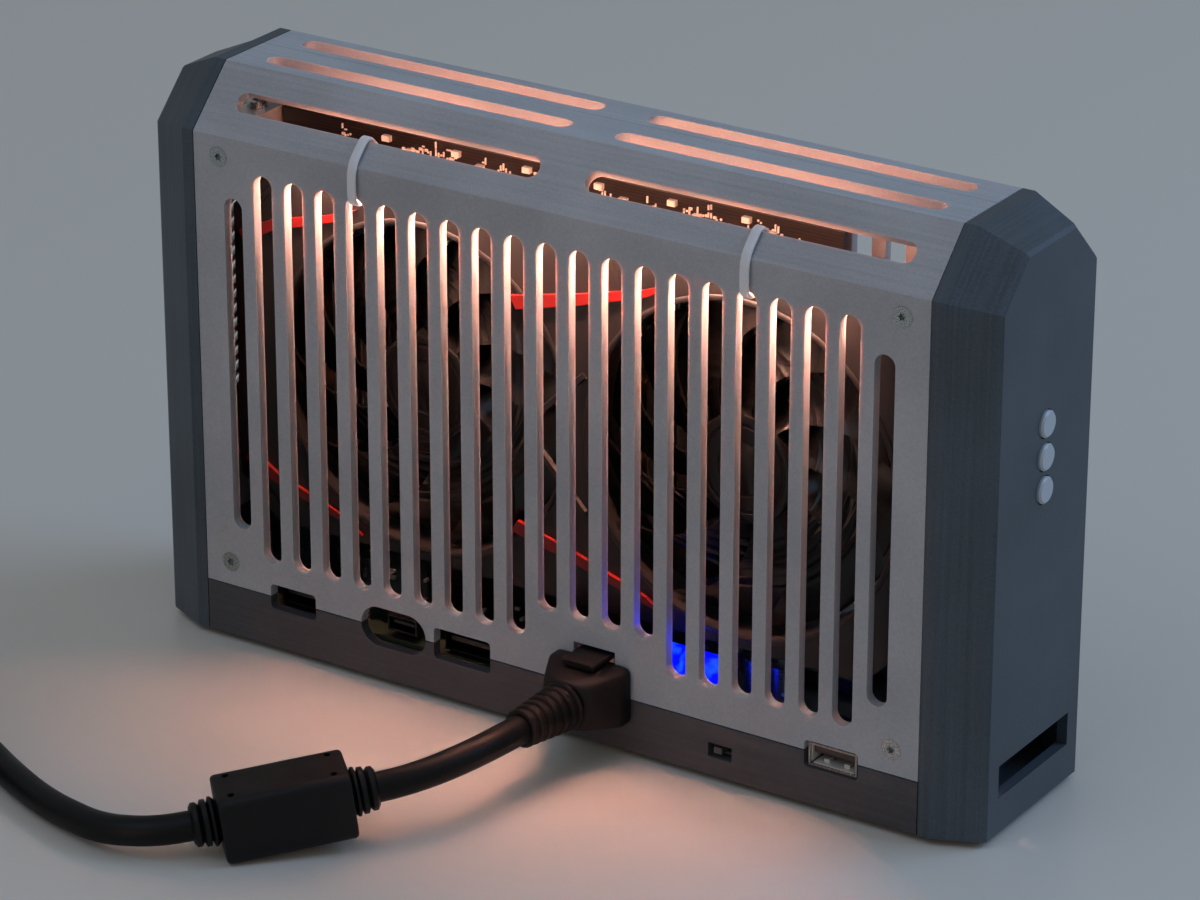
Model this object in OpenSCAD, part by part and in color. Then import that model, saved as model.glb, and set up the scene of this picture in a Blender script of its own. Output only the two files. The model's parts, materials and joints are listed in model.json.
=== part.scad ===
// Expansion chassis for one graphics card: a printed shell with slotted covers round an adapter board,
// a card with two fans, a light bar and three buttons, fed by a moulded power lead.
// X runs along the front, Y from front to back and Z up from the surface under the feet.

/* [Shell] */
// Width of the slotted covers between the end caps
shell_w = 225; // [217:1:245]
// Depth of the shell from front to back
shell_d = 60; // [58:1:70]
// Height of the shell above its underside
shell_h = 161.5; // [160:0.5:175]
// Thickness of the shell walls
wall = 3; // [2.6:0.1:3.4]
// Height of the base tray up to the seam under the covers
base_h = 15; // [14:0.5:17]
// Level width of the sloping faces along the roof edges
roof_bevel = 15.4; // [14:0.2:17]
// How far behind the middle the two covers meet on the roof
seam_back = 1.9; // [1:0.1:3]
// Open joint between neighbouring shell parts
seam_gap = 0.3; // [0.2:0.05:0.4]

/* [End caps] */
// Flush band of an end cap beside the covers
cap_band = 3.8; // [3:0.1:6]
// Length of the bevelled part of an end cap
cap_bevel_w = 13.2; // [12:0.2:18]
// How far the bevel draws the end face in
cap_bevel_in = 5.8; // [4:0.1:7]
// Length of the tongue that reaches under the covers
tongue_l = 6; // [4:0.5:8]

/* [Grille] */
// Width of every ventilation slot
slot_w = 6; // [4.5:0.5:7]
// Distance between neighbouring upright slots
slot_pitch = 10; // [9:0.5:12]
// Cover left solid beyond the outermost slots
slot_edge = 9.5; // [9:0.5:12]
// Distance from the base seam up to the slots
slot_low_in = 9.8; // [9:0.2:14]
// Distance from the roof bevel down to the slots
slot_top_in = 8.7; // [8.5:0.1:12]
// How much shorter the outermost slots are at each end
end_slot_cut = 8.2; // [6:0.2:12]
// How much higher the slots above the power plug begin
plug_slot_rise = 9; // [8:0.2:12]
// Distance of the roof slots from the middle of the roof
roof_row_y = 7.8; // [7.4:0.1:9]
// Cover left solid between the left and right roof slots
roof_slot_gap = 14; // [10:1:24]

/* [Fasteners] */
// Thread diameter of the case screws
screw_d = 3; // [2.5:0.1:3.2]
// Head diameter of the case screws
screw_head_d = 5.6; // [5.4:0.1:6.4]
// Length of the case screws
screw_l = 12; // [10:0.5:13]
// Distance of the cover screws from the end caps
screw_in = 8; // [7.5:0.1:8.5]
// Diameter of a rubber foot
foot_d = 9; // [7:0.5:12]
// Height of a rubber foot
foot_h = 2; // [1.5:0.1:3]

/* [Adapter board] */
// Height of the pillars under the adapter board
pillar_h = 6; // [5.6:0.1:7]
// Thickness of every circuit board
board_t = 1.6; // [1.2:0.1:1.8]
// Length of the card slot
card_slot_l = 89; // [84:1:92]
// Height of the card slot
card_slot_h = 11.2; // [10.5:0.1:12]
// Travel of the slide switch knob
switch_travel = 2; // [1.5:0.1:2.4]

/* [Graphics card] */
// Length of the card's circuit board
card_l = 178; // [170:1:184]
// Room between the roof and the top of the card's circuit board
card_top_room = 22.4; // [21.4:0.1:26.9]
// Room between the rear wall and the front of the card's circuit board
card_back = 12.5; // [12.2:0.1:13.2]
// Room between the front cover and the cooler
cooler_room = 7; // [6:0.5:8.5]
// How far the cooler shroud ends before the right end of the covers
shroud_end_room = 10; // [6:0.5:12]
// Room between the roof and the top of the cooler shroud
shroud_top_room = 26.3; // [25.3:0.1:29.3]
// Depth of the cooler shroud
shroud_t = 14; // [12:0.5:15]
// Shroud left above and below the round fan openings
fan_rim = 5; // [4.5:0.1:6]
// Gap between the blade tips and the round openings
tip_gap = 1.75; // [1.5:0.05:4]
// Distance of the left fan's axis from the left end of the shroud
left_fan_in = 61.3; // [58:0.1:62]
// Distance of the right fan's axis from the right end of the shroud
right_fan_in = 49.9; // [49:0.1:52]
// Diameter of a fan's hub
hub_d = 30; // [28:1:34]
// Number of blades on a fan
blade_count = 11; // [7:1:13]

/* [Buttons] */
// Diameter of a button
button_d = 7.2; // [6:0.1:7.6]
// Distance between neighbouring buttons
button_pitch = 9; // [8.6:0.1:10]
// How far a button stands out of the end face
button_out = 1; // [0.9:0.1:2]
// Inward travel of a button
button_travel = 0.8; // [0.5:0.05:0.8]

/* [Power lead] */
// Diameter of the lead
lead_d = 8; // [7:0.1:8]
// Length of the choke block
choke_l = 34; // [30:1:34]
// Width and height of the choke block
choke_w = 18.5; // [16:0.5:18.5]

/* [Hidden] */
$fn = 48;

// Shared clearances
cut = 1;
skin = 0.01;
fit_gap = 0.3;
slip_gap = 0.1;
run_gap = 0.05;

// Levels of the shell
under_z = foot_h;
floor_z = under_z + wall;
seam_z = under_z + base_h;
roof_z = under_z + shell_h;
bevel_z = roof_z - roof_bevel;
front_y = -shell_d / 2;
back_y = shell_d / 2;
half_w = shell_w / 2;
seam_y = seam_back;
band_x = half_w + seam_gap;
bevel_x = half_w + cap_band;
end_x = bevel_x + cap_bevel_w;
edge_soft = 1;
cap_wall_x = end_x - wall;
corner_share = tan(22.5);

// Cover slots
slot_low_z = seam_z + slot_low_in;
slot_top_z = bevel_z - slot_top_in;
slot_side = floor((half_w - slot_edge) / slot_pitch);
roof_slot_in = 9;
roof_slot_end = half_w - roof_slot_in;
plug_slots = [0, 1, 2, 3];

// Posts in the end caps that take the cover screws
post_w = 9;
post_d = 10;
post_h = 10;
post_x = half_w - screw_in;
post_in_x = post_x - post_w / 2;
post_y = back_y - wall - fit_gap;
low_screw_up = 7;
high_screw_down = 6;
low_screw_z = seam_z + low_screw_up;
high_screw_z = bevel_z - high_screw_down;
base_screw_y = post_y - post_d / 2;
tongue_t = 2;
shoulder_t = 3;
head_h = 1.7;
recess_d = 2.6;
recess_h = 1.2;
foot_in_x = 19;
foot_in_y = 8;

// Adapter board
board_z = floor_z + pillar_h;
board_top = board_z + board_t;
board_in_x = 1.4;
board_in_y = 1;
board_x = post_in_x - board_in_x;
board_y = back_y - wall - board_in_y;
pillar_d = 6;
board_screw_d = 2.5;
board_screw_l = 6;
board_head_d = 4.6;
board_head_h = 1.6;
front_pillar_x = 67;
front_pillar_in = 6;
rear_pillar_side = 10.6;
rear_pillar_x = board_x - rear_pillar_side;
rear_pillar_in = 5;
pillar_places = [
    [-front_pillar_x, front_pillar_in - board_y],
    [front_pillar_x, front_pillar_in - board_y],
    [-rear_pillar_x, board_y - rear_pillar_in],
    [rear_pillar_x, board_y - rear_pillar_in]
];

// Small parts on the adapter board, as left and front corners with their sizes
chip_t = 1.2;
chip_places = [[-20, -6, 12], [-58, -4, 7], [70, -2, 7]];
can_d = 6.3;
can_h = 7.7;
coil_box = [8, 8, 4];
coil_row_in = 14;
coil_row_y = board_y - coil_row_in;
coil_places = [[38, coil_row_y], [50, coil_row_y], [62, coil_row_y]];
can_row_gap = 8;
can_row_y = coil_row_y - can_row_gap;
end_can_side = 10.6;
end_can_x = end_can_side - board_x;
can_places = [[36, can_row_y], [44, can_row_y], [52, can_row_y], [end_can_x, 2], [end_can_x + can_row_gap, 2]];
blue_box = [3, 3, 1.4];
blue_places = [[34, -18], [40, -18], [46, -18]];

// Sockets along the front, each with its opening in the shell
port_up = 4.6;
port_z = board_top + port_up;
port_round = 1.2;
left_port_in = 29.1;
left_port_x = left_port_in - half_w;
left_hole_w = 15.2;
left_hole_h = 7.3;
left_socket_w = 13.8;
left_socket_h = 5.9;
left_tongue_h = 1.2;
mid_port_x = -50;
mid_hole_w = 21.3;
mid_hole_h = 11.5;
mid_socket_w = 9.6;
mid_socket_h = 4.6;
mid_tongue_h = 0.9;
right_port_x = -27.5;
right_hole_w = 18.3;
right_hole_h = 9.1;
right_socket_w = 16.7;
right_socket_h = 6.5;
right_tongue_h = 1.4;
socket_skin = 0.6;
port_depth = 12;
port_over = 0.2;
port_front_y = port_over - board_y;
usb_side = 25.5;
usb_x = half_w - usb_side;
usb_up = 3.6;
usb_z = board_top + usb_up;
usb_hole_w = 16;
usb_hole_h = 7.7;
usb_w = 14.4;
usb_h = 6.6;
usb_l = 15;
usb_in = 1;
usb_tongue_h = 1.8;

// Power socket and the opening round it
plug_x = 14.7;
plug_up = 5.6;
plug_z = board_top + plug_up;
plug_hole_w = 21.5;
plug_hole_h = 13.5;
latch_hole_w = 13;
latch_hole_h = 4.4;
socket_w = 21;
socket_d = 15;
socket_over = 6.2;
nose_w = 18.2;
nose_h = 9.4;
nose_room = 12;
pin_d = 1.2;
pin_l = 9;
pin_pitch = 4.2;
pin_columns = [-1.5, -0.5, 0.5, 1.5];
pin_rows = [-0.5, 0.5];

// Slide switch under the board
switch_x = 53.7;
switch_w = 9;
switch_h = 3.6;
switch_d = 4;
switch_hole_w = 7.2;
switch_hole_h = 4.1;
knob_w = 2.4;
knob_h = 1.8;
knob_in = 0.6;
knob_z = board_z - switch_h / 2;

// Card slot and latch
card_y = back_y - wall - card_back;
slot_y = card_y + board_t / 2;
card_slot_w = 7.5;
card_slot_x = -68;
card_slot_end = card_slot_x + card_slot_l;
groove_w = 2;
groove_h = 7.8;
groove_in = 1.6;
latch_l = 6;
latch_w = 5;
latch_h = 9;
latch_arm_t = 2.2;
latch_foot = 0.6;
latch_pin_d = 1.6;
latch_pin_up = 2.2;
latch_pin_z = board_top + latch_pin_up;
latch_off = 2.6;
latch_x = card_slot_end + latch_off;

// Circuit board of the card, its bracket and its sockets
contact_up = 0.2;
contact_in = 2;
contact_over = 0.8;
contact_z = board_top + card_slot_h - groove_h + contact_up;
card_low_z = board_top + card_slot_h + contact_over;
card_top_z = roof_z - card_top_room;
bracket_gap = 5.5;
bracket_t = 1;
bracket_x = -half_w - bracket_gap;
bracket_off = 1;
card_x = bracket_x + bracket_t + bracket_off;
bracket_up = 28;
bracket_over = 0.1;
bracket_low_z = under_z + bracket_up;
bracket_top_z = card_top_z - bracket_over;
shroud_front_y = front_y + wall + cooler_room;
bracket_y0 = shroud_front_y;
bracket_back = 5;
bracket_y1 = card_y + bracket_back;
bracket_tab = 8;
tab_d = 17.5;
tab_y0 = bracket_y1 - tab_d;
tab_screw_x = bracket_x - bracket_tab / 2;
tab_screw_y = bracket_y1 - tab_d / 2;
bracket_screw_l = 6;
bracket_head_h = 2;
vent_pitch = 4.2;
vent_l = 13;
vent_w = 2;
vent_slant = 28;
vent_up = 38;
vent_low_z = bracket_low_z + vent_up;
vent_top_in = 18;
vent_count = 1 + floor((bracket_top_z - vent_top_in - vent_low_z) / vent_pitch);
video_reach = 7.1;
video_y = card_y - video_reach;
video_w = 17;
vent_share = 0.42;
vent_y = bracket_y0 + vent_share * (video_y - bracket_y0);
video_pitch = 21.5;
video_up = 20;
video_l = 14;
video_back = 2;
video_tongue = 1;
video_low_z = bracket_low_z + video_up;
video_top_in = 9;
video_count = 1 + floor((bracket_top_z - video_top_in - video_low_z - video_w) / video_pitch);

// Opening for the bracket in the left cap
bracket_hole_in = 12;
bracket_hole_half = back_y - bracket_hole_in;
bracket_hole_up = 40;
bracket_hole_down = 7;
ledge_h = 4;
ledge_z = bracket_top_z - bracket_t - fit_gap;
notch_room = 0.5;

// Cooler
shroud_in = 5;
shroud_x0 = -half_w + shroud_in;
shroud_x1 = half_w - shroud_end_room;
shroud_up = 33.2;
shroud_low_z = under_z + shroud_up;
shroud_top_z = roof_z - shroud_top_room;
shroud_back_y = shroud_front_y + shroud_t;
shroud_skin = 1.6;
shroud_corner = 12;
fan_drop = 1.2;
fan_z = (shroud_low_z + shroud_top_z) / 2 - fan_drop;
left_fan_x = shroud_x0 + left_fan_in;
right_fan_x = shroud_x1 - right_fan_in;
fan_wall = 6.8;
fan_hole_d = min(shroud_top_z - shroud_low_z - 2 * fan_rim, right_fan_x - left_fan_x - fan_wall);
fan_d = fan_hole_d - 2 * tip_gap;
fan_in = 1.4;
fan_front_y = shroud_front_y + fan_in;
fan_t = 8.4;
hub_skin = 1.4;
blade_t = 1.1;
blade_tilt = 34;
blade_root = 0.8;
motor_d = 22;
motor_plate_t = 1.6;
motor_rim = 1;
rotor_room = 1;
axle_d = 3;
spoke_w = 4;
spoke_count = 4;
mount_t = 1.6;
mount_rim = 3;
mount_hole = 2;
mount_y = shroud_back_y - mount_t;
trim_t = 1.2;
trim_reach_left = 59;
trim_reach_right = 70;
trim_low_share = 0.654;
trim_high_share = 0.728;
trim_step = 2;
trim_shares = [[-1.043, 0.772], [-0.609, 0.913], [-0.435, 1.022], [-0.63, 0.95], [-1.043, 0.839]];
sink_gap = 1;
sink_front_y = shroud_back_y + sink_gap;
sink_in = 12;
sink_back = 2.6;
sink_back_y = card_y - sink_back;
sink_base_t = 3;
sink_bar_t = 2;
sink_bar_h = 10;
sink_edge = 5;
fin_pitch = 4.6;
fin_t = 0.6;
sink_x0 = shroud_x0 + sink_in;
sink_x1 = shroud_x1 - sink_in;
sink_low_z = shroud_low_z + sink_edge;
sink_top_z = shroud_top_z - sink_edge;
pipe_d = 6;
pipe_gap = 22;
pipe_over = 2;
pipe_y = (sink_front_y + sink_back_y) / 2;

// Parts on the card's circuit board
gpu_in = 94;
gpu_w = 34;
gpu_t = 1.2;
die_w = 18;
die_t = 0.8;
gpu_x = card_x + gpu_in;
gpu_drop = 4;
gpu_z = fan_z - gpu_drop;
memory_w = 12;
memory_t = 1.2;
memory_reach = 24;
memory_pitch = 16;
plate_t = 1.2;
plate_gap = 1.4;
plate_in = 3;
plate_low = 8;
plate_top = 7.5;
plate_stud = 4;
plate_stud_in = 8;
edge_part = [2.4, 1.4, 1.6];
edge_part_in = 34;
edge_part_pitch = 7.6;
edge_part_count = 18;
edge_part_down = 3;
edge_part_step = 2.5;
card_coil = [7, 2, 7];
card_coil_in = 128;
card_coil_pitch = 9;
card_coil_count = 5;
card_coil_down = 26;

// Button unit in the right cap
button_up = 98;
button_z = under_z + button_up;
button_hole_gap = 0.3;
button_crown = 0.5;
flange_d = 9;
flange_t = 1;
tact_w = 6;
tact_t = 3.5;
plunger_d = 3;
plunger_h = 0.8;
stem_d = 3.4;
stem_l = 2.4;
stem_x = cap_wall_x - slip_gap - flange_t - stem_l;
button_board_x = stem_x - button_travel - slip_gap - plunger_h - tact_t - board_t;
button_board_w = 16;
button_board_over = 11;
button_board_h = 2 * (button_pitch + button_board_over);
button_post_d = 5;
tunnel_in = 11.6;
tunnel_w = shell_d - 2 * tunnel_in;
tunnel_h = 9.2;
tunnel_up = 14.7;
tunnel_z = under_z + tunnel_up;

// Light bar tied behind the upper front edge
bar_t = 2.6;
bar_h = 6;
bar_l = 150;
bar_over = 0.6;
bar_z = slot_top_z + bar_over;
bar_y = front_y + wall + slip_gap;
lamp_w = 5;
lamp_t = 0.8;
lamp_pitch = 9;
tie_w = 3.8;
tie_t = 1.1;
tie_gap = 0.3;
tie_slot = 6;

// Power lead: it leaves the plug forwards, crosses the surface to the left and ends in a coil
lead_r = lead_d / 2;
lead_sides = 10;
floor_gap = 0.1;
lead_z = lead_r + floor_gap;
plug_face_y = front_y - fit_gap;
flange_w = 23.5;
flange_h = 16.4;
plug_flange_t = 3;
plug_l = 14;
plug_nose_in = 2;
thumb_w = 10;
thumb_h = 2;
thumb_l = 8;
neck_d = 13.6;
relief_l = 18;
relief_end_d = 10.6;
relief_yaw = 6;
relief_core = 1.4;
rib_count = 7;
rib_t = 1.5;
relief_end = [
    plug_x - relief_l * sin(relief_yaw), plug_face_y - plug_l - relief_l * cos(relief_yaw), plug_z
];

// Points along the lead are measured from the surface right under the plug at the front face
lead_from = [plug_x, front_y, 0];
choke_mid = lead_from + [-35.1, -89.6, 11.4];
choke_yaw = 45;
choke_lift = 7;
choke_round = 3.4;
collar_l = 7;
collar_d = 9.6;
ring_d = 12.2;
ring_t = 1.8;
ring_step = 0.7;
choke_axis = [cos(choke_lift) * cos(choke_yaw), cos(choke_lift) * sin(choke_yaw), sin(choke_lift)];
choke_reach = choke_l / 2 + collar_l;
near_start = [-sin(relief_yaw), -cos(relief_yaw), 0];
near_bow = 15;
near_steps = 5;
far_offsets = [
    [-57.9, -111, 7.5], [-65, -114, 6.6], [-74, -115, 5.5], [-85, -113, 4.6], [-97, -109.6, 4.2],
    [-113, -103, 4.1], [-130, -94.3, 4.1], [-144, -87, 4.1]
];
tail_offsets = [[-238.1, -136, 12.2], [-239, -145, 10.6], [-240.4, -154, 9.1], [-241.7, -162, 8.4]];
tail_yaw = 9;
coil_mid = lead_from + [-188, -119.2, 0];
coil_out_r = 49.5;
coil_pitch = 8.9;
coil_start_angle = 62;
coil_end_angle = 1260;
coil_sides = 6;
rings_per_loop = 24;
grip_l = 24;
grip_w = 23;
grip_h = 16.4;
grip_round = 2;
grip_relief_l = 16;
grip_nose_l = 8;

// Profile of the shell in Y and Z, drawn in by an inset, down to a low level
function shell_outline(inset, low) = [
    [front_y + inset, low],
    [front_y + inset, bevel_z - corner_share * inset],
    [front_y + roof_bevel + corner_share * inset, roof_z - inset],
    [back_y - roof_bevel - corner_share * inset, roof_z - inset],
    [back_y - inset, bevel_z - corner_share * inset],
    [back_y - inset, low]
];

// Drawing helpers

// Draws a profile given in Y and Z and carries it along X from x0
module along_x(x0, length) {
    translate([x0, 0, 0]) rotate([90, 0, 90]) linear_extrude(length) children();
}

// Draws a profile given in X and Z and carries it along Y from y0
module along_y(y0, length) {
    translate([0, y0 + length, 0]) rotate([90, 0, 0]) linear_extrude(length) children();
}

// A box from one corner to the other
module block(low, high) {
    translate(low) cube(high - low);
}

// An upright slot with round ends, centred on x, from z0 to z1
module upright_slot(x, z0, z1, width) {
    translate([x - width / 2, z0 + width / 2]) square([width, z1 - z0 - width]);
    translate([x, z0 + width / 2]) circle(d = width);
    translate([x, z1 - width / 2]) circle(d = width);
}

// A level slot with round ends, centred on y, from x0 to x1
module level_slot(x0, x1, y, width) {
    translate([x0 + width / 2, y - width / 2]) square([x1 - x0 - width, width]);
    translate([x0 + width / 2, y]) circle(d = width);
    translate([x1 - width / 2, y]) circle(d = width);
}

// A rectangle with round corners, centred on a point
module round_rect(x, y, w, h, r) {
    translate([x - w / 2 + r, y - h / 2]) square([w - 2 * r, h]);
    translate([x - w / 2, y - h / 2 + r]) square([w, h - 2 * r]);
    for (sx = [-1, 1], sy = [-1, 1]) {
        translate([x + sx * (w / 2 - r), y + sy * (h / 2 - r)]) circle(r = r);
    }
}

// A countersunk screw with its head at the origin and its tip towards -Z
module flat_screw() {
    difference() {
        union() {
            translate([0, 0, -head_h]) cylinder(h = head_h, d1 = screw_d, d2 = screw_head_d);
            translate([0, 0, -screw_l]) cylinder(h = screw_l - head_h / 2, d = screw_d);
        }
        translate([0, 0, -recess_h]) linear_extrude(recess_h + cut) {
            circle(d = recess_d, $fn = 3);
            rotate(60) circle(d = recess_d, $fn = 3);
        }
    }
}

// The room that a countersunk screw needs
module flat_screw_room() {
    head_r = screw_head_d / 2 + slip_gap;
    bore_r = screw_d / 2 + slip_gap;
    translate([0, 0, -head_h]) cylinder(h = head_h, r1 = bore_r, r2 = head_r);
    translate([0, 0, -skin]) cylinder(h = cut, r = head_r);
    translate([0, 0, -screw_l - slip_gap]) cylinder(h = screw_l, r = bore_r);
}

// Places children at the four cover screws of one face, -1 for the front and 1 for the rear
module at_cover_screws(face) {
    for (sx = [-1, 1], z = [low_screw_z, high_screw_z]) {
        translate([sx * post_x, face * back_y, z]) rotate([-face * 90, 0, 0]) children();
    }
}

// Places children at the four base screws
module at_base_screws() {
    for (sx = [-1, 1], sy = [-1, 1]) {
        translate([sx * post_x, sy * base_screw_y, under_z]) rotate([180, 0, 0]) children();
    }
}

// Shell

// The openings for the sockets along the front
module front_port_holes() {
    along_y(front_y - cut, wall + 2 * cut) {
        round_rect(left_port_x, port_z, left_hole_w, left_hole_h, port_round);
        level_slot(mid_port_x - mid_hole_w / 2, mid_port_x + mid_hole_w / 2, port_z, mid_hole_h);
        round_rect(right_port_x, port_z, right_hole_w, right_hole_h, port_round);
        round_rect(usb_x, usb_z, usb_hole_w, usb_hole_h, port_round);
        round_rect(plug_x, plug_z, plug_hole_w, plug_hole_h, port_round);
        translate([plug_x - latch_hole_w / 2, plug_z]) square([latch_hole_w, plug_hole_h / 2 + latch_hole_h]);
    }
}

// The upright slots of one cover, cut through the wall that starts at y0
module grille_slots(y0, over_plug) {
    along_y(y0, wall + 2 * cut) {
        for (i = [-slot_side : slot_side]) {
            end_cut = abs(i) == slot_side ? end_slot_cut : 0;
            rise = over_plug && len([for (p = plug_slots) if (p == i) p]) > 0 ? plug_slot_rise : 0;
            upright_slot(i * slot_pitch, slot_low_z + end_cut + rise, slot_top_z - end_cut, slot_w);
        }
    }
}

// The long slots in the sloping roof edge and in the roof of one cover
module roof_slots(face) {
    for (sx = [-1, 1]) {
        x0 = sx > 0 ? roof_slot_gap / 2 : -roof_slot_end;
        x1 = sx > 0 ? roof_slot_end : -roof_slot_gap / 2;
        translate([0, 0, roof_z - wall - cut]) linear_extrude(wall + 2 * cut) {
            level_slot(x0, x1, face * roof_row_y, slot_w);
        }
        translate([0, face * (back_y - roof_bevel / 2), roof_z - roof_bevel / 2]) {
            rotate([-face * 45, 0, 0]) translate([0, 0, -wall - cut]) linear_extrude(wall + 2 * cut) {
                level_slot(x0, x1, 0, slot_w);
            }
        }
    }
}

// The shell above the tray between two depths
module cover_shell(y0, y1) {
    along_x(-half_w, shell_w) {
        intersection() {
            difference() {
                polygon(shell_outline(0, seam_z + seam_gap / 2));
                polygon(shell_outline(wall, under_z));
            }
            translate([y0, 0]) square([y1 - y0, roof_z + cut]);
        }
    }
}

module front_cover() {
    color("silver") difference() {
        cover_shell(front_y, seam_y - seam_gap / 2);
        grille_slots(front_y - cut, true);
        roof_slots(-1);
        front_port_holes();
        at_cover_screws(-1) flat_screw_room();
    }
}

module rear_cover() {
    color("silver") difference() {
        cover_shell(seam_y + seam_gap / 2, back_y);
        grille_slots(back_y - wall - cut, false);
        roof_slots(1);
        at_cover_screws(1) flat_screw_room();
    }
}

module base_tray() {
    color("darkslategray") difference() {
        union() {
            along_x(-half_w, shell_w) {
                difference() {
                    translate([front_y, under_z]) square([shell_d, base_h - seam_gap / 2]);
                    translate([front_y + wall, floor_z]) square([shell_d - 2 * wall, base_h]);
                }
            }
            for (p = pillar_places) {
                translate([p[0], p[1], floor_z - skin]) cylinder(h = pillar_h + skin, d = pillar_d);
            }
        }
        front_port_holes();
        along_y(front_y - cut, wall + 2 * cut) {
            translate([switch_x - switch_hole_w / 2, board_z + fit_gap - switch_hole_h]) {
                square([switch_hole_w, switch_hole_h]);
            }
        }
        at_base_screws() flat_screw_room();
        for (p = pillar_places) {
            translate([p[0], p[1], board_top - board_screw_l - slip_gap]) {
                cylinder(h = board_screw_l, d = board_screw_d + 2 * slip_gap);
            }
        }
    }
}

// A thin slab of the shell's profile at x
module cap_slab(x, inset, low) {
    along_x(x, skin) polygon(shell_outline(inset, low));
}

// An end cap on the right side, without its openings
module cap_shell() {
    lip = wall + fit_gap;
    lip_z = floor_z + fit_gap;
    wall_in = wall + cap_bevel_in * (cap_bevel_w - wall) / cap_bevel_w;
    difference() {
        union() {
            difference() {
                hull() {
                    cap_slab(band_x, 0, under_z);
                    cap_slab(bevel_x, 0, under_z);
                    cap_slab(end_x - edge_soft, cap_bevel_in * (1 - edge_soft / cap_bevel_w), under_z);
                    cap_slab(end_x - skin, cap_bevel_in + edge_soft / 2, under_z);
                }
                hull() {
                    cap_slab(band_x - cut, wall, floor_z);
                    cap_slab(bevel_x, wall, floor_z);
                    cap_slab(cap_wall_x - skin, wall_in, floor_z);
                }
            }
            along_x(band_x, shoulder_t) {
                difference() {
                    polygon(shell_outline(wall / 2, under_z + wall / 2));
                    polygon(shell_outline(lip + tongue_t, lip_z + tongue_t));
                }
            }
            along_x(half_w - tongue_l, tongue_l + seam_gap + cut) {
                difference() {
                    polygon(shell_outline(lip, lip_z));
                    polygon(shell_outline(lip + tongue_t, lip_z + tongue_t));
                }
            }
            for (sy = [-1, 1]) {
                y0 = sy > 0 ? post_y - post_d : -post_y;
                post_l = band_x + shoulder_t - post_in_x;
                translate([post_in_x, y0, lip_z]) {
                    cube([post_l, post_d, low_screw_z + post_h / 2 - lip_z]);
                }
                translate([post_in_x, y0, high_screw_z - post_h / 2]) {
                    cube([post_l, post_d, post_h]);
                }
            }
        }
        for (face = [-1, 1]) {
            at_cover_screws(face) flat_screw_room();
        }
        at_base_screws() flat_screw_room();
    }
}

module right_end_cap() {
    color("slategray") {
        difference() {
            cap_shell();
            for (i = [-1 : 1]) {
                translate([cap_wall_x - cut, 0, button_z + i * button_pitch]) rotate([0, 90, 0]) {
                    cylinder(h = wall + 2 * cut, d = button_d + 2 * button_hole_gap);
                }
            }
            block([cap_wall_x - cut, -tunnel_w / 2, tunnel_z - tunnel_h / 2],
                [end_x + cut, tunnel_w / 2, tunnel_z + tunnel_h / 2]);
        }
        for (sz = [-1, 1]) {
            translate([button_board_x + board_t, 0, button_z + sz * (button_board_h - button_post_d) / 2]) {
                rotate([0, 90, 0]) {
                    cylinder(h = cap_wall_x - button_board_x - board_t + skin, d = button_post_d);
                }
            }
        }
    }
}

module left_end_cap() {
    color("slategray") difference() {
        union() {
            mirror([1, 0, 0]) cap_shell();
            block([-cap_wall_x - skin, tab_y0, ledge_z - ledge_h],
                [bracket_x - fit_gap, bracket_y1 + notch_room, ledge_z]);
        }
        block([-end_x - cut, -bracket_hole_half, under_z + bracket_hole_up],
            [-cap_wall_x + cut, bracket_hole_half, bracket_top_z - bracket_hole_down]);
        block([-end_x - cut, tab_y0 - notch_room, ledge_z],
            [-bevel_x + skin, bracket_y1 + notch_room, roof_z + cut]);
        translate([tab_screw_x, tab_screw_y, ledge_z - ledge_h - cut]) {
            cylinder(h = ledge_h + 2 * cut, d = screw_d + 2 * slip_gap);
        }
    }
}

module rubber_feet() {
    color("black") for (sx = [-1, 1], sy = [-1, 1]) {
        translate([sx * (half_w - foot_in_x), sy * (back_y - foot_in_y), 0]) cylinder(h = foot_h, d = foot_d);
    }
}

module front_cover_screws() {
    color("lightgray") at_cover_screws(-1) flat_screw();
}

module rear_cover_screws() {
    color("lightgray") at_cover_screws(1) flat_screw();
}

module base_screws() {
    color("lightgray") at_base_screws() flat_screw();
}

// Adapter board and its parts

module adapter_board() {
    color("darkgreen") difference() {
        block([-board_x, -board_y, board_z], [board_x, board_y, board_top]);
        for (p = pillar_places) {
            translate([p[0], p[1], board_z - cut]) {
                cylinder(h = board_t + 2 * cut, d = board_screw_d + 2 * slip_gap);
            }
        }
    }
}

module board_screws() {
    color("lightgray") for (p = pillar_places) {
        translate([p[0], p[1], board_top]) {
            difference() {
                cylinder(h = board_head_h, d = board_head_d);
                translate([0, 0, board_head_h / 2]) cylinder(h = board_head_h, d = board_screw_d, $fn = 6);
            }
            translate([0, 0, -board_screw_l]) cylinder(h = board_screw_l + skin, d = board_screw_d);
        }
    }
}

// The bore that the latch's pin turns in
module latch_bore() {
    translate([latch_x, slot_y + card_slot_w / 2 + cut, latch_pin_z]) rotate([90, 0, 0]) {
        cylinder(h = card_slot_w + 2 * cut, d = latch_pin_d + 2 * run_gap);
    }
}

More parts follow.
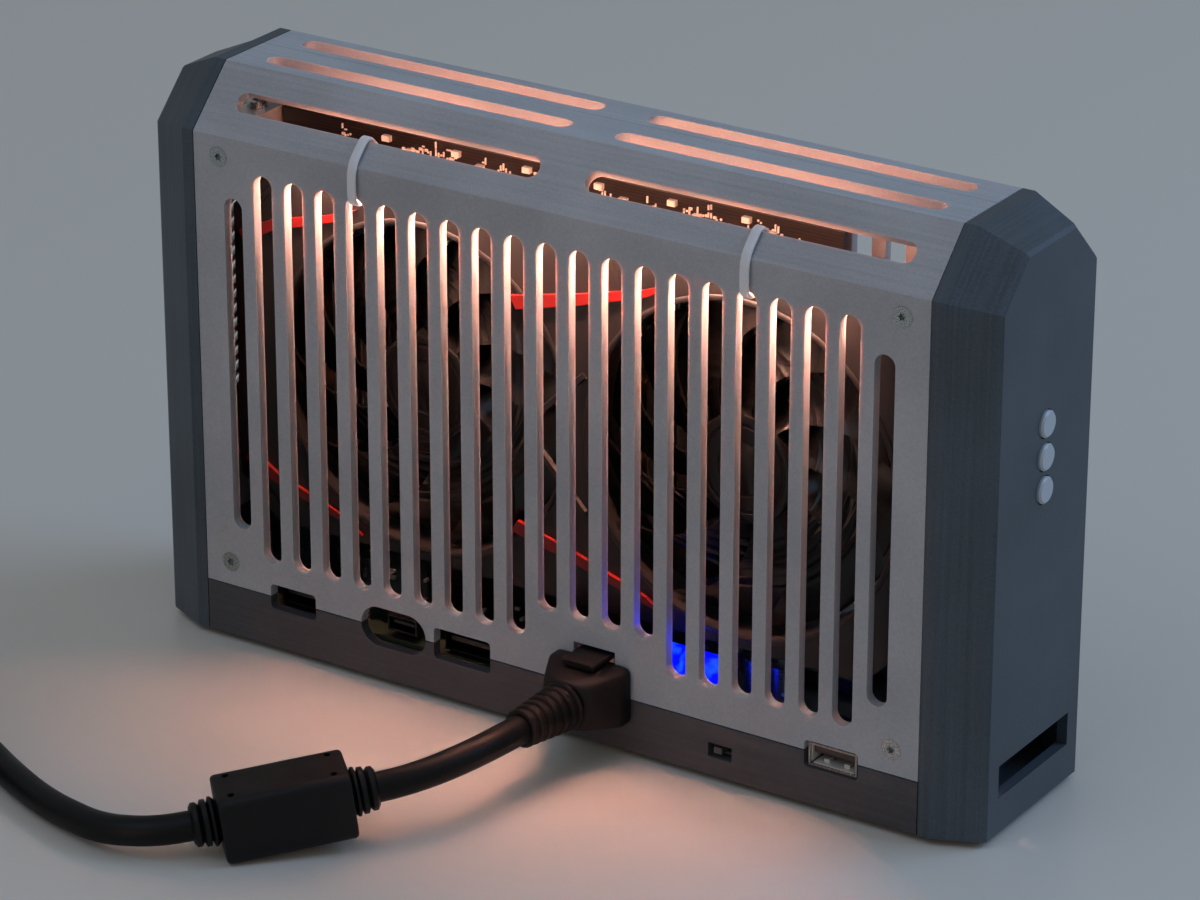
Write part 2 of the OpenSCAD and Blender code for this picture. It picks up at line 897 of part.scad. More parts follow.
module card_slot() {
    ear_top = latch_pin_z + latch_pin_d;
    color("black") difference() {
        union() {
            block([card_slot_x, slot_y - card_slot_w / 2, board_top],
                [card_slot_end, slot_y + card_slot_w / 2, board_top + card_slot_h]);
            block([card_slot_end - skin, slot_y - card_slot_w / 2, board_top],
                [card_slot_end + latch_l, slot_y - latch_w / 2 - slip_gap, ear_top]);
            block([card_slot_end - skin, slot_y + latch_w / 2 + slip_gap, board_top],
                [card_slot_end + latch_l, slot_y + card_slot_w / 2, ear_top]);
        }
        block([card_slot_x + groove_in, slot_y - groove_w / 2, board_top + card_slot_h - groove_h],
            [card_slot_end - groove_in, slot_y + groove_w / 2, board_top + card_slot_h + cut]);
        latch_bore();
    }
}

module slot_latch() {
    color("dimgray") {
        block([latch_x - latch_arm_t / 2, slot_y - latch_w / 2, board_top + latch_foot],
            [latch_x + latch_arm_t / 2, slot_y + latch_w / 2, board_top + latch_h]);
        block([latch_x, slot_y - latch_w / 2, board_top + latch_h - latch_arm_t],
            [latch_x + latch_l, slot_y + latch_w / 2, board_top + latch_h]);
        translate([latch_x, slot_y + card_slot_w / 2 - slip_gap, latch_pin_z]) rotate([90, 0, 0]) {
            cylinder(h = card_slot_w - 2 * slip_gap, d = latch_pin_d);
        }
    }
}

// A metal socket with a tongue, standing on the board behind an opening
module host_socket(x, w, h, tongue_h) {
    low = port_z - h / 2;
    high = port_z + h / 2;
    color("silver") difference() {
        block([x - w / 2, port_front_y, low], [x + w / 2, port_front_y + port_depth, high]);
        block([x - w / 2 + socket_skin, port_front_y - cut, low + socket_skin],
            [x + w / 2 - socket_skin, port_front_y + port_depth - 2 * socket_skin, high - socket_skin]);
    }
    color("black") block(
        [x - w / 2 + 2 * socket_skin, port_front_y + 2 * socket_skin, port_z - tongue_h / 2],
        [x + w / 2 - 2 * socket_skin, port_front_y + port_depth - socket_skin, port_z + tongue_h / 2]);
    color("silver") block([x - w / 2 + socket_skin, port_front_y + port_depth / 2, board_top],
        [x + w / 2 - socket_skin, port_front_y + port_depth, low + skin]);
}

module left_host_port() {
    host_socket(left_port_x, left_socket_w, left_socket_h, left_tongue_h);
}

module middle_host_port() {
    host_socket(mid_port_x, mid_socket_w, mid_socket_h, mid_tongue_h);
}

module right_host_port() {
    host_socket(right_port_x, right_socket_w, right_socket_h, right_tongue_h);
}

module usb_port() {
    y0 = front_y + usb_in;
    tongue_top = board_top + usb_h - 2 * socket_skin;
    color("silver") difference() {
        block([usb_x - usb_w / 2, y0, board_top], [usb_x + usb_w / 2, y0 + usb_l, board_top + usb_h]);
        block([usb_x - usb_w / 2 + socket_skin, y0 - cut, board_top + socket_skin],
            [usb_x + usb_w / 2 - socket_skin, y0 + usb_l - 2 * socket_skin, board_top + usb_h - socket_skin]);
    }
    color("white") block([usb_x - usb_w / 2 + 2 * socket_skin, y0 + 2 * socket_skin, tongue_top - usb_tongue_h],
        [usb_x + usb_w / 2 - 2 * socket_skin, y0 + usb_l - socket_skin, tongue_top]);
}

module power_socket() {
    y0 = front_y + wall + fit_gap;
    color("black") difference() {
        block([plug_x - socket_w / 2, y0, board_top], [plug_x + socket_w / 2, y0 + socket_d, plug_z + socket_over]);
        block([plug_x - nose_w / 2 - slip_gap, y0 - cut, plug_z - nose_h / 2 - slip_gap],
            [plug_x + nose_w / 2 + slip_gap, y0 + nose_room, plug_z + nose_h / 2 + slip_gap]);
    }
    color("gold") for (i = pin_columns, j = pin_rows) {
        translate([plug_x + i * pin_pitch, y0 + nose_room + skin, plug_z + j * pin_pitch]) rotate([90, 0, 0]) {
            cylinder(h = pin_l, d = pin_d);
        }
    }
}

module switch_body() {
    y0 = front_y + wall + fit_gap;
    half_room = (switch_travel + knob_w) / 2 + fit_gap;
    color("lightgray") difference() {
        block([switch_x - switch_w / 2, y0, board_z - switch_h], [switch_x + switch_w / 2, y0 + switch_d, board_z]);
        block([switch_x - half_room, y0 - cut, knob_z - knob_h / 2 - slip_gap],
            [switch_x + half_room, y0 + switch_d / 2 + fit_gap, knob_z + knob_h / 2 + slip_gap]);
    }
}

module switch_knob() {
    rest_x = switch_x - switch_travel / 2;
    color("dimgray") block([rest_x - knob_w / 2, front_y + knob_in, knob_z - knob_h / 2],
        [rest_x + knob_w / 2, front_y + wall + fit_gap + switch_d / 2, knob_z + knob_h / 2]);
}

module bridge_chips() {
    color("black") for (p = chip_places) {
        translate([p[0], p[1], board_top]) cube([p[2], p[2], chip_t]);
    }
}

module board_capacitors() {
    color("silver") for (p = can_places) {
        translate([p[0], p[1], board_top]) cylinder(h = can_h, d = can_d);
    }
}

module board_chokes() {
    color("dimgray") for (p = coil_places) {
        translate([p[0], p[1], board_top]) cube(coil_box);
    }
}

module blue_lamps() {
    color("blue") for (p = blue_places) {
        translate([p[0], p[1], board_top]) cube(blue_box);
    }
}

// Button unit

module button_board() {
    color("darkgreen") block([button_board_x, -button_board_w / 2, button_z - button_board_h / 2],
        [button_board_x + board_t, button_board_w / 2, button_z + button_board_h / 2]);
}

module tact_switches() {
    color("dimgray") for (i = [-1 : 1]) {
        translate([button_board_x + board_t, 0, button_z + i * button_pitch]) rotate([0, 90, 0]) {
            translate([-tact_w / 2, -tact_w / 2, 0]) cube([tact_w, tact_w, tact_t]);
            translate([0, 0, tact_t - skin]) cylinder(h = plunger_h + skin, d = plunger_d);
        }
    }
}

// One push button, i places above the middle one
module push_button(i) {
    body_l = end_x + button_out - cap_wall_x + slip_gap;
    top_l = body_l - button_crown;
    color("white") translate([cap_wall_x - slip_gap, 0, button_z + i * button_pitch]) rotate([0, 90, 0]) {
        cylinder(h = top_l, d = button_d);
        translate([0, 0, top_l]) cylinder(h = button_crown, d1 = button_d, d2 = button_d - 2 * button_crown);
        translate([0, 0, -flange_t]) cylinder(h = flange_t + skin, d = min(flange_d, button_pitch - fit_gap));
        translate([0, 0, -flange_t - stem_l]) cylinder(h = stem_l + skin, d = stem_d);
    }
}

module top_button() {
    push_button(1);
}

module middle_button() {
    push_button(0);
}

module bottom_button() {
    push_button(-1);
}

// Graphics card

module card_board() {
    color("saddlebrown") {
        block([card_x, card_y, card_low_z], [card_x + card_l, card_y + board_t, card_top_z]);
        block([card_slot_x + contact_in, card_y, contact_z],
            [card_slot_end - contact_in, card_y + board_t, card_low_z + skin]);
    }
}

module card_bracket() {
    color("silver") difference() {
        union() {
            block([bracket_x, bracket_y0, bracket_low_z], [bracket_x + bracket_t, bracket_y1, bracket_top_z]);
            block([bracket_x - bracket_tab, tab_y0, bracket_top_z - bracket_t],
                [bracket_x + skin, bracket_y1, bracket_top_z]);
        }
        along_x(bracket_x - cut, bracket_t + 2 * cut) {
            for (i = [0 : vent_count - 1]) {
                translate([vent_y, vent_low_z + i * vent_pitch]) rotate(vent_slant) {
                    square([vent_l, vent_w], center = true);
                }
            }
            for (i = [0 : video_count - 1]) {
                translate([video_y - slip_gap, video_low_z + i * video_pitch - slip_gap]) {
                    square([video_reach + slip_gap, video_w + 2 * slip_gap]);
                }
            }
        }
        translate([tab_screw_x, tab_screw_y, bracket_top_z - bracket_t - cut]) {
            cylinder(h = bracket_t + 2 * cut, d = screw_d + 2 * slip_gap);
        }
    }
}

module bracket_screw() {
    color("lightgray") translate([tab_screw_x, tab_screw_y, bracket_top_z]) {
        difference() {
            cylinder(h = bracket_head_h, d = screw_head_d);
            translate([0, 0, bracket_head_h / 2]) cylinder(h = bracket_head_h, d = recess_d, $fn = 6);
        }
        translate([0, 0, -bracket_screw_l]) cylinder(h = bracket_screw_l + skin, d = screw_d);
    }
}

module video_ports() {
    tongue_y = video_y + (video_reach - video_tongue) / 2;
    color("silver") for (i = [0 : video_count - 1]) {
        z0 = video_low_z + i * video_pitch;
        difference() {
            block([bracket_x, video_y, z0], [bracket_x + video_l, card_y, z0 + video_w]);
            block([bracket_x - cut, video_y + socket_skin, z0 + socket_skin],
                [bracket_x + video_l - video_back, card_y - socket_skin, z0 + video_w - socket_skin]);
        }
        block([bracket_x + 2 * socket_skin, tongue_y, z0 + video_back],
            [bracket_x + video_l - socket_skin, tongue_y + video_tongue, z0 + video_w - video_back]);
    }
}

module graphics_chip() {
    color("darkgreen") block([gpu_x - gpu_w / 2, card_y - gpu_t, gpu_z - gpu_w / 2],
        [gpu_x + gpu_w / 2, card_y, gpu_z + gpu_w / 2]);
    color("gray") block([gpu_x - die_w / 2, card_y - gpu_t - die_t, gpu_z - die_w / 2],
        [gpu_x + die_w / 2, card_y - gpu_t + skin, gpu_z + die_w / 2]);
}

module memory_chips() {
    color("black") for (i = [-1 : 1]) {
        translate([gpu_x + i * memory_pitch - memory_w / 2, card_y - memory_t, gpu_z + memory_reach - memory_w / 2]) {
            cube([memory_w, memory_t, memory_w]);
        }
        translate([gpu_x - memory_reach - memory_w / 2, card_y - memory_t, gpu_z + (i - 1) * memory_pitch]) {
            cube([memory_w, memory_t, memory_w]);
        }
    }
}

// A level bar that holds the fins together, from z0 to z1
module fin_bar(z0, z1) {
    bar_back = sink_back_y - sink_gap;
    block([sink_x0, bar_back - sink_bar_t, z0], [sink_x1 + fin_t, bar_back, z1]);
}

module heat_sink() {
    fin_count = floor((sink_x1 - sink_x0) / fin_pitch);
    color("silver") difference() {
        union() {
            block([gpu_x - gpu_w, sink_back_y - sink_base_t, gpu_z - gpu_w / 2],
                [gpu_x + gpu_w, card_y - gpu_t - die_t - skin, gpu_z + gpu_w / 2]);
            for (i = [0 : fin_count]) {
                x = sink_x0 + i * fin_pitch;
                block([x, sink_front_y, sink_low_z], [x + fin_t, sink_back_y - sink_gap, sink_top_z]);
            }
            fin_bar(sink_low_z + sink_bar_h, sink_low_z + 2 * sink_bar_h);
            fin_bar(gpu_z - gpu_w / 2, gpu_z + gpu_w / 2);
            fin_bar(sink_top_z - 2 * sink_bar_h, sink_top_z - sink_bar_h);
        }
        for (sz = [-1, 1]) {
            translate([sink_x0 - cut, pipe_y, gpu_z + sz * pipe_gap / 2]) rotate([0, 90, 0]) {
                cylinder(h = sink_x1 - sink_x0 + fin_t + 2 * cut, d = pipe_d + 2 * slip_gap);
            }
        }
    }
}

module heat_pipes() {
    color("peru") for (sz = [-1, 1]) {
        translate([sink_x0 - pipe_over, pipe_y, gpu_z + sz * pipe_gap / 2]) rotate([0, 90, 0]) {
            cylinder(h = sink_x1 - sink_x0 + 2 * pipe_over, d = pipe_d);
        }
    }
}

// The outline of the cooler shroud in X and Z, with cut corners, drawn in by an inset
function shroud_outline(inset) = [
    [shroud_x0 + inset, shroud_low_z + shroud_corner],
    [shroud_x0 + shroud_corner, shroud_low_z + inset],
    [shroud_x1 - shroud_corner, shroud_low_z + inset],
    [shroud_x1 - inset, shroud_low_z + shroud_corner],
    [shroud_x1 - inset, shroud_top_z - shroud_corner],
    [shroud_x1 - shroud_corner, shroud_top_z - inset],
    [shroud_x0 + shroud_corner, shroud_top_z - inset],
    [shroud_x0 + inset, shroud_top_z - shroud_corner]
];

module cooler_shroud() {
    spoke_l = (fan_hole_d - motor_d) / 2 + shroud_skin / 2;
    color("black") {
        difference() {
            along_y(shroud_front_y, shroud_t) polygon(shroud_outline(0));
            along_y(shroud_front_y + shroud_skin, shroud_t) polygon(shroud_outline(shroud_skin));
            for (x = [left_fan_x, right_fan_x]) {
                translate([x, shroud_front_y - cut, fan_z]) rotate([-90, 0, 0]) {
                    cylinder(h = shroud_skin + 2 * cut, d = fan_hole_d);
                }
            }
        }
        for (x = [left_fan_x, right_fan_x]) {
            translate([x, mount_y, fan_z]) rotate([-90, 0, 0]) difference() {
                cylinder(h = mount_t, d = motor_d + 2 * mount_rim);
                translate([0, 0, -cut]) cylinder(h = mount_t + 2 * cut, d = motor_d - 2 * mount_hole);
            }
            for (i = [0 : spoke_count - 1]) {
                translate([x, mount_y, fan_z]) rotate([0, 45 + i * 360 / spoke_count, 0]) {
                    translate([motor_d / 2, 0, -spoke_w / 2]) cube([spoke_l, mount_t, spoke_w]);
                }
            }
            translate([x, shroud_front_y + shroud_skin - skin, fan_z]) rotate([-90, 0, 0]) difference() {
                cylinder(h = shroud_t - shroud_skin + skin, d = fan_hole_d + 2 * shroud_skin);
                translate([0, 0, -cut]) cylinder(h = shroud_t + 2 * cut, d = fan_hole_d);
            }
        }
    }
}

// A pair of slanting trims above and below the fan at x; reach is how far they start left of its axis
module fan_trims(x, reach) {
    r = fan_hole_d / 2;
    start = [[-reach, trim_high_share * r], [trim_step - reach, trim_low_share * r]];
    shape = concat(start, [for (p = trim_shares) r * p]);
    color("red") for (side = [-1, 1]) {
        translate([x, shroud_front_y - trim_t, fan_z]) scale([1, 1, side]) along_y(0, trim_t) polygon(shape);
    }
}

module left_fan_trims() {
    fan_trims(left_fan_x, trim_reach_left);
}

module right_fan_trims() {
    fan_trims(right_fan_x, trim_reach_right);
}

// A motor on its mount, with the pin that the fan turns on
module fan_motor(x) {
    color("dimgray") translate([x, mount_y, fan_z]) rotate([90, 0, 0]) {
        cylinder(h = motor_plate_t, d = motor_d);
        cylinder(h = mount_y - fan_front_y - hub_skin - rotor_room, d = motor_d - 2 * motor_rim);
        cylinder(h = mount_y - fan_front_y - hub_skin / 2 - slip_gap, d = axle_d);
    }
}

module left_fan_motor() {
    fan_motor(left_fan_x);
}

module right_fan_motor() {
    fan_motor(right_fan_x);
}

// A fan with its hub open towards the motor
module fan(x) {
    root_r = hub_d / 2 - blade_root;
    color("dimgray") translate([x, fan_front_y, fan_z]) rotate([-90, 0, 0]) {
        difference() {
            cylinder(h = fan_t, d = hub_d);
            translate([0, 0, hub_skin]) cylinder(h = fan_t, d = hub_d - 2 * hub_skin);
            translate([0, 0, hub_skin / 2]) cylinder(h = fan_t, d = axle_d + 2 * run_gap);
        }
        intersection() {
            difference() {
                cylinder(h = fan_t, d = fan_d);
                translate([0, 0, -cut]) cylinder(h = fan_t + 2 * cut, r = root_r);
            }
            for (i = [0 : blade_count - 1]) {
                rotate(i * 360 / blade_count) translate([0, 0, fan_t / 2]) rotate([blade_tilt, 0, 0]) {
                    translate([root_r - cut, -fan_t, -blade_t / 2]) cube([fan_d / 2, 2 * fan_t, blade_t]);
                }
            }
        }
    }
}

module left_fan() {
    fan(left_fan_x);
}

module right_fan() {
    fan(right_fan_x);
}

module back_plate() {
    x0 = card_x + plate_in;
    x1 = card_x + card_l - plate_in;
    z0 = card_low_z + plate_low;
    z1 = card_top_z - plate_top;
    y0 = card_y + board_t;
    color("black") {
        block([x0, y0 + plate_gap, z0], [x1, y0 + plate_gap + plate_t, z1]);
        for (x = [x0 + plate_stud_in, x1 - plate_stud_in], z = [z0 + plate_stud_in, z1 - plate_stud_in]) {
            translate([x, y0 + plate_gap + skin, z]) rotate([90, 0, 0]) cylinder(h = plate_gap + skin, d = plate_stud);
        }
    }
}

module card_edge_parts() {
    color("linen") for (i = [0 : edge_part_count - 1]) {
        x = card_x + edge_part_in + i * edge_part_pitch;
        z = card_top_z - edge_part_down - edge_part_step * (i % 3);
        translate([x, card_y - edge_part[1], z]) cube(edge_part);
    }
    color("dimgray") for (i = [0 : card_coil_count - 1]) {
        x = card_x + card_coil_in + i * card_coil_pitch;
        translate([x, card_y - card_coil[1], card_top_z - card_coil_down]) cube(card_coil);
    }
}

// Light bar and ties

module light_bar() {
    color("white") block([-bar_l / 2, bar_y, bar_z], [bar_l / 2, bar_y + bar_t - lamp_t, bar_z + bar_h]);
}

module bar_lamps() {
    lamp_side = floor((bar_l / 2 - lamp_w) / lamp_pitch);
    color("lightyellow") for (i = [-lamp_side : lamp_side]) {
        translate([i * lamp_pitch - lamp_w / 2, bar_y + bar_t - lamp_t, bar_z + (bar_h - lamp_w) / 2]) {
            cube([lamp_w, lamp_t, lamp_w]);
        }
    }
}

// The line that a tie follows in Y and Z, at a distance from what it wraps
function tie_path(o) =
    let (
        r = slot_w / 2,
        low = slot_top_z - r + sqrt(r * r - tie_w * tie_w / 4) - o,
        edge = front_y + bevel_z + roof_bevel - r * sqrt(2) + o * sqrt(2),
        slope = bevel_z - front_y + o * sqrt(2),
        deep = bevel_z - front_y - (wall + 1 + o) * sqrt(2),
        back = bar_y + bar_t + o
    )
    [
        [front_y - o, low],
        [front_y - o, slope + front_y - o],
        [(edge - slope) / 2, (edge + slope) / 2],
        [(edge - deep) / 2, (edge + deep) / 2],
        [back, back + deep],
        [back, low]
    ];

// A closed tie round the bar and the upper edge of the front cover at x
module cable_tie(x) {
    color("whitesmoke") along_x(x - tie_w / 2, tie_w) difference() {
        polygon(tie_path(tie_gap + tie_t));
        polygon(tie_path(tie_gap));
    }
}

module left_cable_tie() {
    cable_tie(-tie_slot * slot_pitch);
}

module right_cable_tie() {
    cable_tie(tie_slot * slot_pitch);
}

// Power lead

function unit(v) = v / norm(v);
function tangent(p, i) = unit(p[min(i + 1, len(p) - 1)] - p[max(i - 1, 0)]);
function side_of(t) = unit(cross(t, [0, 0, 1]));
function ring_at(c, t, r, sides) =
    let (s = side_of(t), u = cross(s, t))
    [for (k = [0 : sides - 1]) c + r * (cos(360 * (k + 0.5) / sides) * s + sin(360 * (k + 0.5) / sides) * u)];

// A tube swept along points; its first and last faces are square to the given directions
module swept_tube(points, r, sides, first, last) {
    n = len(points);
    rings = [
        for (i = [0 : n - 1])
            ring_at(points[i], i == 0 ? unit(first) : i == n - 1 ? unit(last) : tangent(points, i), r, sides)
    ];
    corners = [for (ring = rings, p = ring) p];
    walls = [
        for (i = [0 : n - 2], k = [0 : sides - 1])
            let (a = i * sides + k, b = i * sides + (k + 1) % sides)
            each [[a, b, b + sides], [a, b + sides, a + sides]]
    ];
    ends = [
        for (k = [1 : sides - 2])
            each [[0, k + 1, k], [(n - 1) * sides, (n - 1) * sides + k, (n - 1) * sides + k + 1]]
    ];
    polyhedron(points = corners, faces = concat(walls, ends));
}

// The near stretch bows from the strain relief to the choke
near_end = choke_mid + choke_reach * choke_axis;
function bow(t) =
    pow(1 - t, 3) * relief_end
    + 3 * t * pow(1 - t, 2) * (relief_end + near_bow * near_start)
    + 3 * t * t * (1 - t) * (near_end + near_bow * choke_axis)
    + pow(t, 3) * near_end;
near_path = [for (i = [0 : near_steps]) bow(i / near_steps)];

// The coil spirals in on its lower layer and out again on its upper one
coil_turns = (coil_end_angle - coil_start_angle) / 360;
coil_rise = coil_pitch;
function climb(s) = max(0, min(1, 2 * (s - coil_turns / 2) + 0.5));
function coil_point(s) =
    let (a = coil_start_angle + 360 * s, r = coil_out_r - coil_pitch * min(s, coil_turns - s))
    coil_mid + [r * cos(a), r * sin(a), lead_z + coil_rise * climb(s)];
coil_steps = ceil(coil_turns * rings_per_loop);
coil_body = [for (i = [0 : coil_steps]) coil_point(coil_turns * i / coil_steps)];
coil_in = [-sin(coil_start_angle), cos(coil_start_angle), 0];
coil_out = [-sin(coil_end_angle), cos(coil_end_angle), 0];
coil_path = concat([coil_body[0] - lead_d * coil_in], coil_body, [coil_body[coil_steps] + lead_d * coil_out]);
far_path = concat(
    [choke_mid - choke_reach * choke_axis], [for (p = far_offsets) lead_from + p], [coil_path[0]]
);
tail_path = concat([coil_path[len(coil_path) - 1]], [for (p = tail_offsets) lead_from + p]);

// The least distance between stretches of the coil that lie half a loop or more apart, less the lead itself
coil_gap = min([
    for (i = [0 : len(coil_path) - 1], j = [i + rings_per_loop / 2 : 1 : len(coil_path) - 1])
        norm(coil_path[i] - coil_path[j])
]) - lead_d;
echo(coil_gap = coil_gap);

module power_plug() {
    thumb_z = plug_z + flange_h / 2;
    color("black") {
        block([plug_x - flange_w / 2, plug_face_y - plug_flange_t, plug_z - flange_h / 2],
            [plug_x + flange_w / 2, plug_face_y, plug_z + flange_h / 2]);
        block([plug_x - nose_w / 2, plug_face_y - skin, plug_z - nose_h / 2],
            [plug_x + nose_w / 2, front_y + wall + fit_gap + plug_nose_in, plug_z + nose_h / 2]);
        block([plug_x - thumb_w / 2, plug_face_y - thumb_l, thumb_z - skin],
            [plug_x + thumb_w / 2, front_y + wall, thumb_z + thumb_h]);
        hull() {
            translate([plug_x, plug_face_y - plug_flange_t, plug_z]) rotate([90, 0, 0]) linear_extrude(skin) {
                square([flange_w, flange_h], center = true);
            }
            translate([plug_x, plug_face_y - plug_l + skin, plug_z]) rotate([90, 0, 0]) linear_extrude(skin) {
                circle(d = neck_d, $fn = 32);
            }
        }
        translate([plug_x, plug_face_y - plug_l, plug_z]) rotate([90, 0, -relief_yaw]) {
            translate([0, 0, -cut]) {
                cylinder(h = relief_l + cut, d1 = neck_d - relief_core, d2 = relief_end_d - relief_core);
            }
            for (i = [0 : rib_count - 1]) {
                rib_d = neck_d - (neck_d - relief_end_d) * i / (rib_count - 1);
                translate([0, 0, i * (relief_l - rib_t) / (rib_count - 1)]) cylinder(h = rib_t, d = rib_d);
            }
        }
    }
}

module lead_near() {
    color("black") swept_tube(near_path, lead_r, lead_sides, near_start, -choke_axis);
}

module choke_block() {
    color("black") translate(choke_mid) rotate([0, 90 - choke_lift, choke_yaw]) {
        translate([0, 0, -choke_l / 2]) linear_extrude(choke_l) round_rect(0, 0, choke_w, choke_w, choke_round);
        for (s = [-1, 1]) {
            scale([1, 1, s]) translate([0, 0, choke_l / 2 - skin]) {
                cylinder(h = collar_l + skin, d = collar_d);
                cylinder(h = ring_t, d = ring_d + ring_step);
                translate([0, 0, (collar_l - ring_t) / 2]) cylinder(h = ring_t, d = ring_d);
                translate([0, 0, collar_l - ring_t]) cylinder(h = ring_t, d = ring_d - ring_step);
            }
        }
    }
}

module lead_far() {
    color("black") swept_tube(far_path, lead_r, lead_sides, -choke_axis, coil_in);
}

module lead_coil() {
    color("black") swept_tube(coil_path, lead_r, coil_sides, coil_in, coil_out);
}

module lead_tail() {
    color("black") swept_tube(tail_path, lead_r, lead_sides, coil_out, [-sin(tail_yaw), -cos(tail_yaw), 0]);
}

module far_connector() {
    color("black") translate(tail_path[len(tail_path) - 1]) rotate([90, 0, -tail_yaw]) {
        cylinder(h = grip_relief_l + skin, d1 = relief_end_d, d2 = neck_d);
        translate([0, 0, grip_relief_l]) linear_extrude(grip_l) round_rect(0, 0, grip_w, grip_h, grip_round);
        translate([-nose_w / 2, -nose_h / 2, grip_relief_l + grip_l - skin]) cube([nose_w, nose_h, grip_nose_l]);
    }
}

base_tray();
front_cover();
rear_cover();
left_end_cap();
right_end_cap();
rubber_feet();
front_cover_screws();
rear_cover_screws();
base_screws();
adapter_board();
board_screws();
card_slot();
slot_latch();
left_host_port();
middle_host_port();
right_host_port();
usb_port();
power_socket();
switch_body();
switch_knob();
bridge_chips();
board_capacitors();
board_chokes();
blue_lamps();
button_board();
tact_switches();
top_button();
middle_button();
bottom_button();
card_board();
card_bracket();
bracket_screw();
video_ports();
graphics_chip();
memory_chips();
heat_sink();
heat_pipes();
cooler_shroud();
left_fan_trims();
right_fan_trims();
left_fan_motor();
right_fan_motor();
left_fan();
right_fan();
back_plate();
card_edge_parts();
light_bar();
bar_lamps();
left_cable_tie();
right_cable_tie();
power_plug();
lead_near();
choke_block();
lead_far();
lead_coil();
lead_tail();
far_connector();
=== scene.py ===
# %% [markdown]
# # Expansion chassis for a graphics card
# A printed shell with slotted covers stands upright round a card with two fans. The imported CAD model
# brings the exact shapes. This lesson gives them their finishes, and builds the soft, round and fine
# pieces that flat CAD solids only stand for. Lengths on the object are typed in millimetres and turned
# into metres, and every piece sits in the frame of the CAD model, so nothing is fitted by eye.

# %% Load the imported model
import json
import math
import random

import bmesh
import bpy
from mathutils import Matrix, Vector


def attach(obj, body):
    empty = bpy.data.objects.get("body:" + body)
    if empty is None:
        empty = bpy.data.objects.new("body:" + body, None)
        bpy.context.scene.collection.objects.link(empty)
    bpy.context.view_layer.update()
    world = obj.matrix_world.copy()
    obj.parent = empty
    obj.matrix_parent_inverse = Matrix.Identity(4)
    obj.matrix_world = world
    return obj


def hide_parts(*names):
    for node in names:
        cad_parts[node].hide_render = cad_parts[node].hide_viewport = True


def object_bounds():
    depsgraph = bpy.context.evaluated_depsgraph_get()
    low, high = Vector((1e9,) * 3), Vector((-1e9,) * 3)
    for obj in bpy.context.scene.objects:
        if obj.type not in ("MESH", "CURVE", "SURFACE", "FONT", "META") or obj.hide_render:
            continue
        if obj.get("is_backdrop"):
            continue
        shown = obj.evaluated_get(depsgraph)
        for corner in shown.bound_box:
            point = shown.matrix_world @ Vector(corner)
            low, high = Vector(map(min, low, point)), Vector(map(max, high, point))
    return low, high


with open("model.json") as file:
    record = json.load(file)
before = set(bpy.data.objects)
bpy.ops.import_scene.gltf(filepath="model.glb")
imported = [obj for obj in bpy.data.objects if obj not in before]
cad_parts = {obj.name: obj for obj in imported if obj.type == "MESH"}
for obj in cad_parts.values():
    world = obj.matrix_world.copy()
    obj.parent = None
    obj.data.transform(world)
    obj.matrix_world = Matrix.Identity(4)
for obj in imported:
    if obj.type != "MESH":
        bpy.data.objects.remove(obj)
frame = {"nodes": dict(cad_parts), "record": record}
cad_box = [list(corner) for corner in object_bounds()]
print("CAD nodes:", len(frame["nodes"]), "box:", cad_box)


# %% [markdown]
# Two small helpers come first: a length typed in millimetres becomes metres, and a colour typed as an
# sRGB hex value becomes the linear colour that a shader works with.

# %% Units and colours
def mm(*values):
    """Millimetres to metres: one number, or a point."""
    return values[0] / 1000 if len(values) == 1 else Vector([v / 1000 for v in values])


def linear(hex_colour):
    """An sRGB hex value as a linear colour with full opacity."""
    parts = [int(hex_colour[i:i + 2], 16) / 255 for i in (1, 3, 5)]
    return [c / 12.92 if c <= 0.04045 else ((c + 0.055) / 1.055) ** 2.4 for c in parts] + [1.0]


print("mid grey in linear light:", round(linear("#808080")[0], 3))

# %% [markdown]
# The camera stands to the right, in front of and above the chassis, at the place that its straight
# edges give by perspective. Its matrix is built from the direction it looks in and its right side.

# %% Camera
looking = Vector((-0.50136, 0.76913, -0.39633)).normalized()
to_right = Vector((0.83763, 0.54623, 0.00043)).normalized()
upwards = to_right.cross(looking).normalized()
camera_at = Vector((0.65136, -1.00390, 0.58787))
camera_data = bpy.data.cameras.new("camera")
camera_data.sensor_width = 36
camera_data.lens = 147.58
camera = bpy.data.objects.new("camera", camera_data)
bpy.context.scene.collection.objects.link(camera)
matrix_rows = [(to_right[i], upwards[i], -looking[i], camera_at[i]) for i in range(3)]
camera.matrix_world = Matrix(matrix_rows + [(0, 0, 0, 1)])
bpy.context.scene.camera = camera
bpy.context.scene.view_settings.view_transform = "Standard"
print("camera", [round(c, 4) for c in camera.matrix_world.translation])


# %% [markdown]
# Most round pieces here can be told as rings: a cross section that is repeated along a line. A plug, a
# rib, a fan blade and a cable tie are all such lofts. One function joins rings into a closed skin, and
# another puts any number of skins into one mesh, so a piece with ribs stays one object.

# %% Skins from rings
crease = math.radians(38)  # edges sharper than this stay sharp
cut_crease = math.radians(30)  # the same along cut edges


def section(width, height, squareness, count=32):
    """A closed outline round the origin: 2 gives an ellipse and larger values a rounder-cornered box."""
    points = []
    for k in range(count):
        a = 2 * math.pi * (k + 0.5) / count
        c, s = math.cos(a), math.sin(a)
        points.append((math.copysign(abs(c) ** (2 / squareness), c) * width / 2,
                       math.copysign(abs(s) ** (2 / squareness), s) * height / 2))
    return points


def ring(centre, side, up, outline):
    """An outline in millimetres placed at a point, with its own side and up directions."""
    return [centre + side * mm(u) + up * mm(v) for u, v in outline]


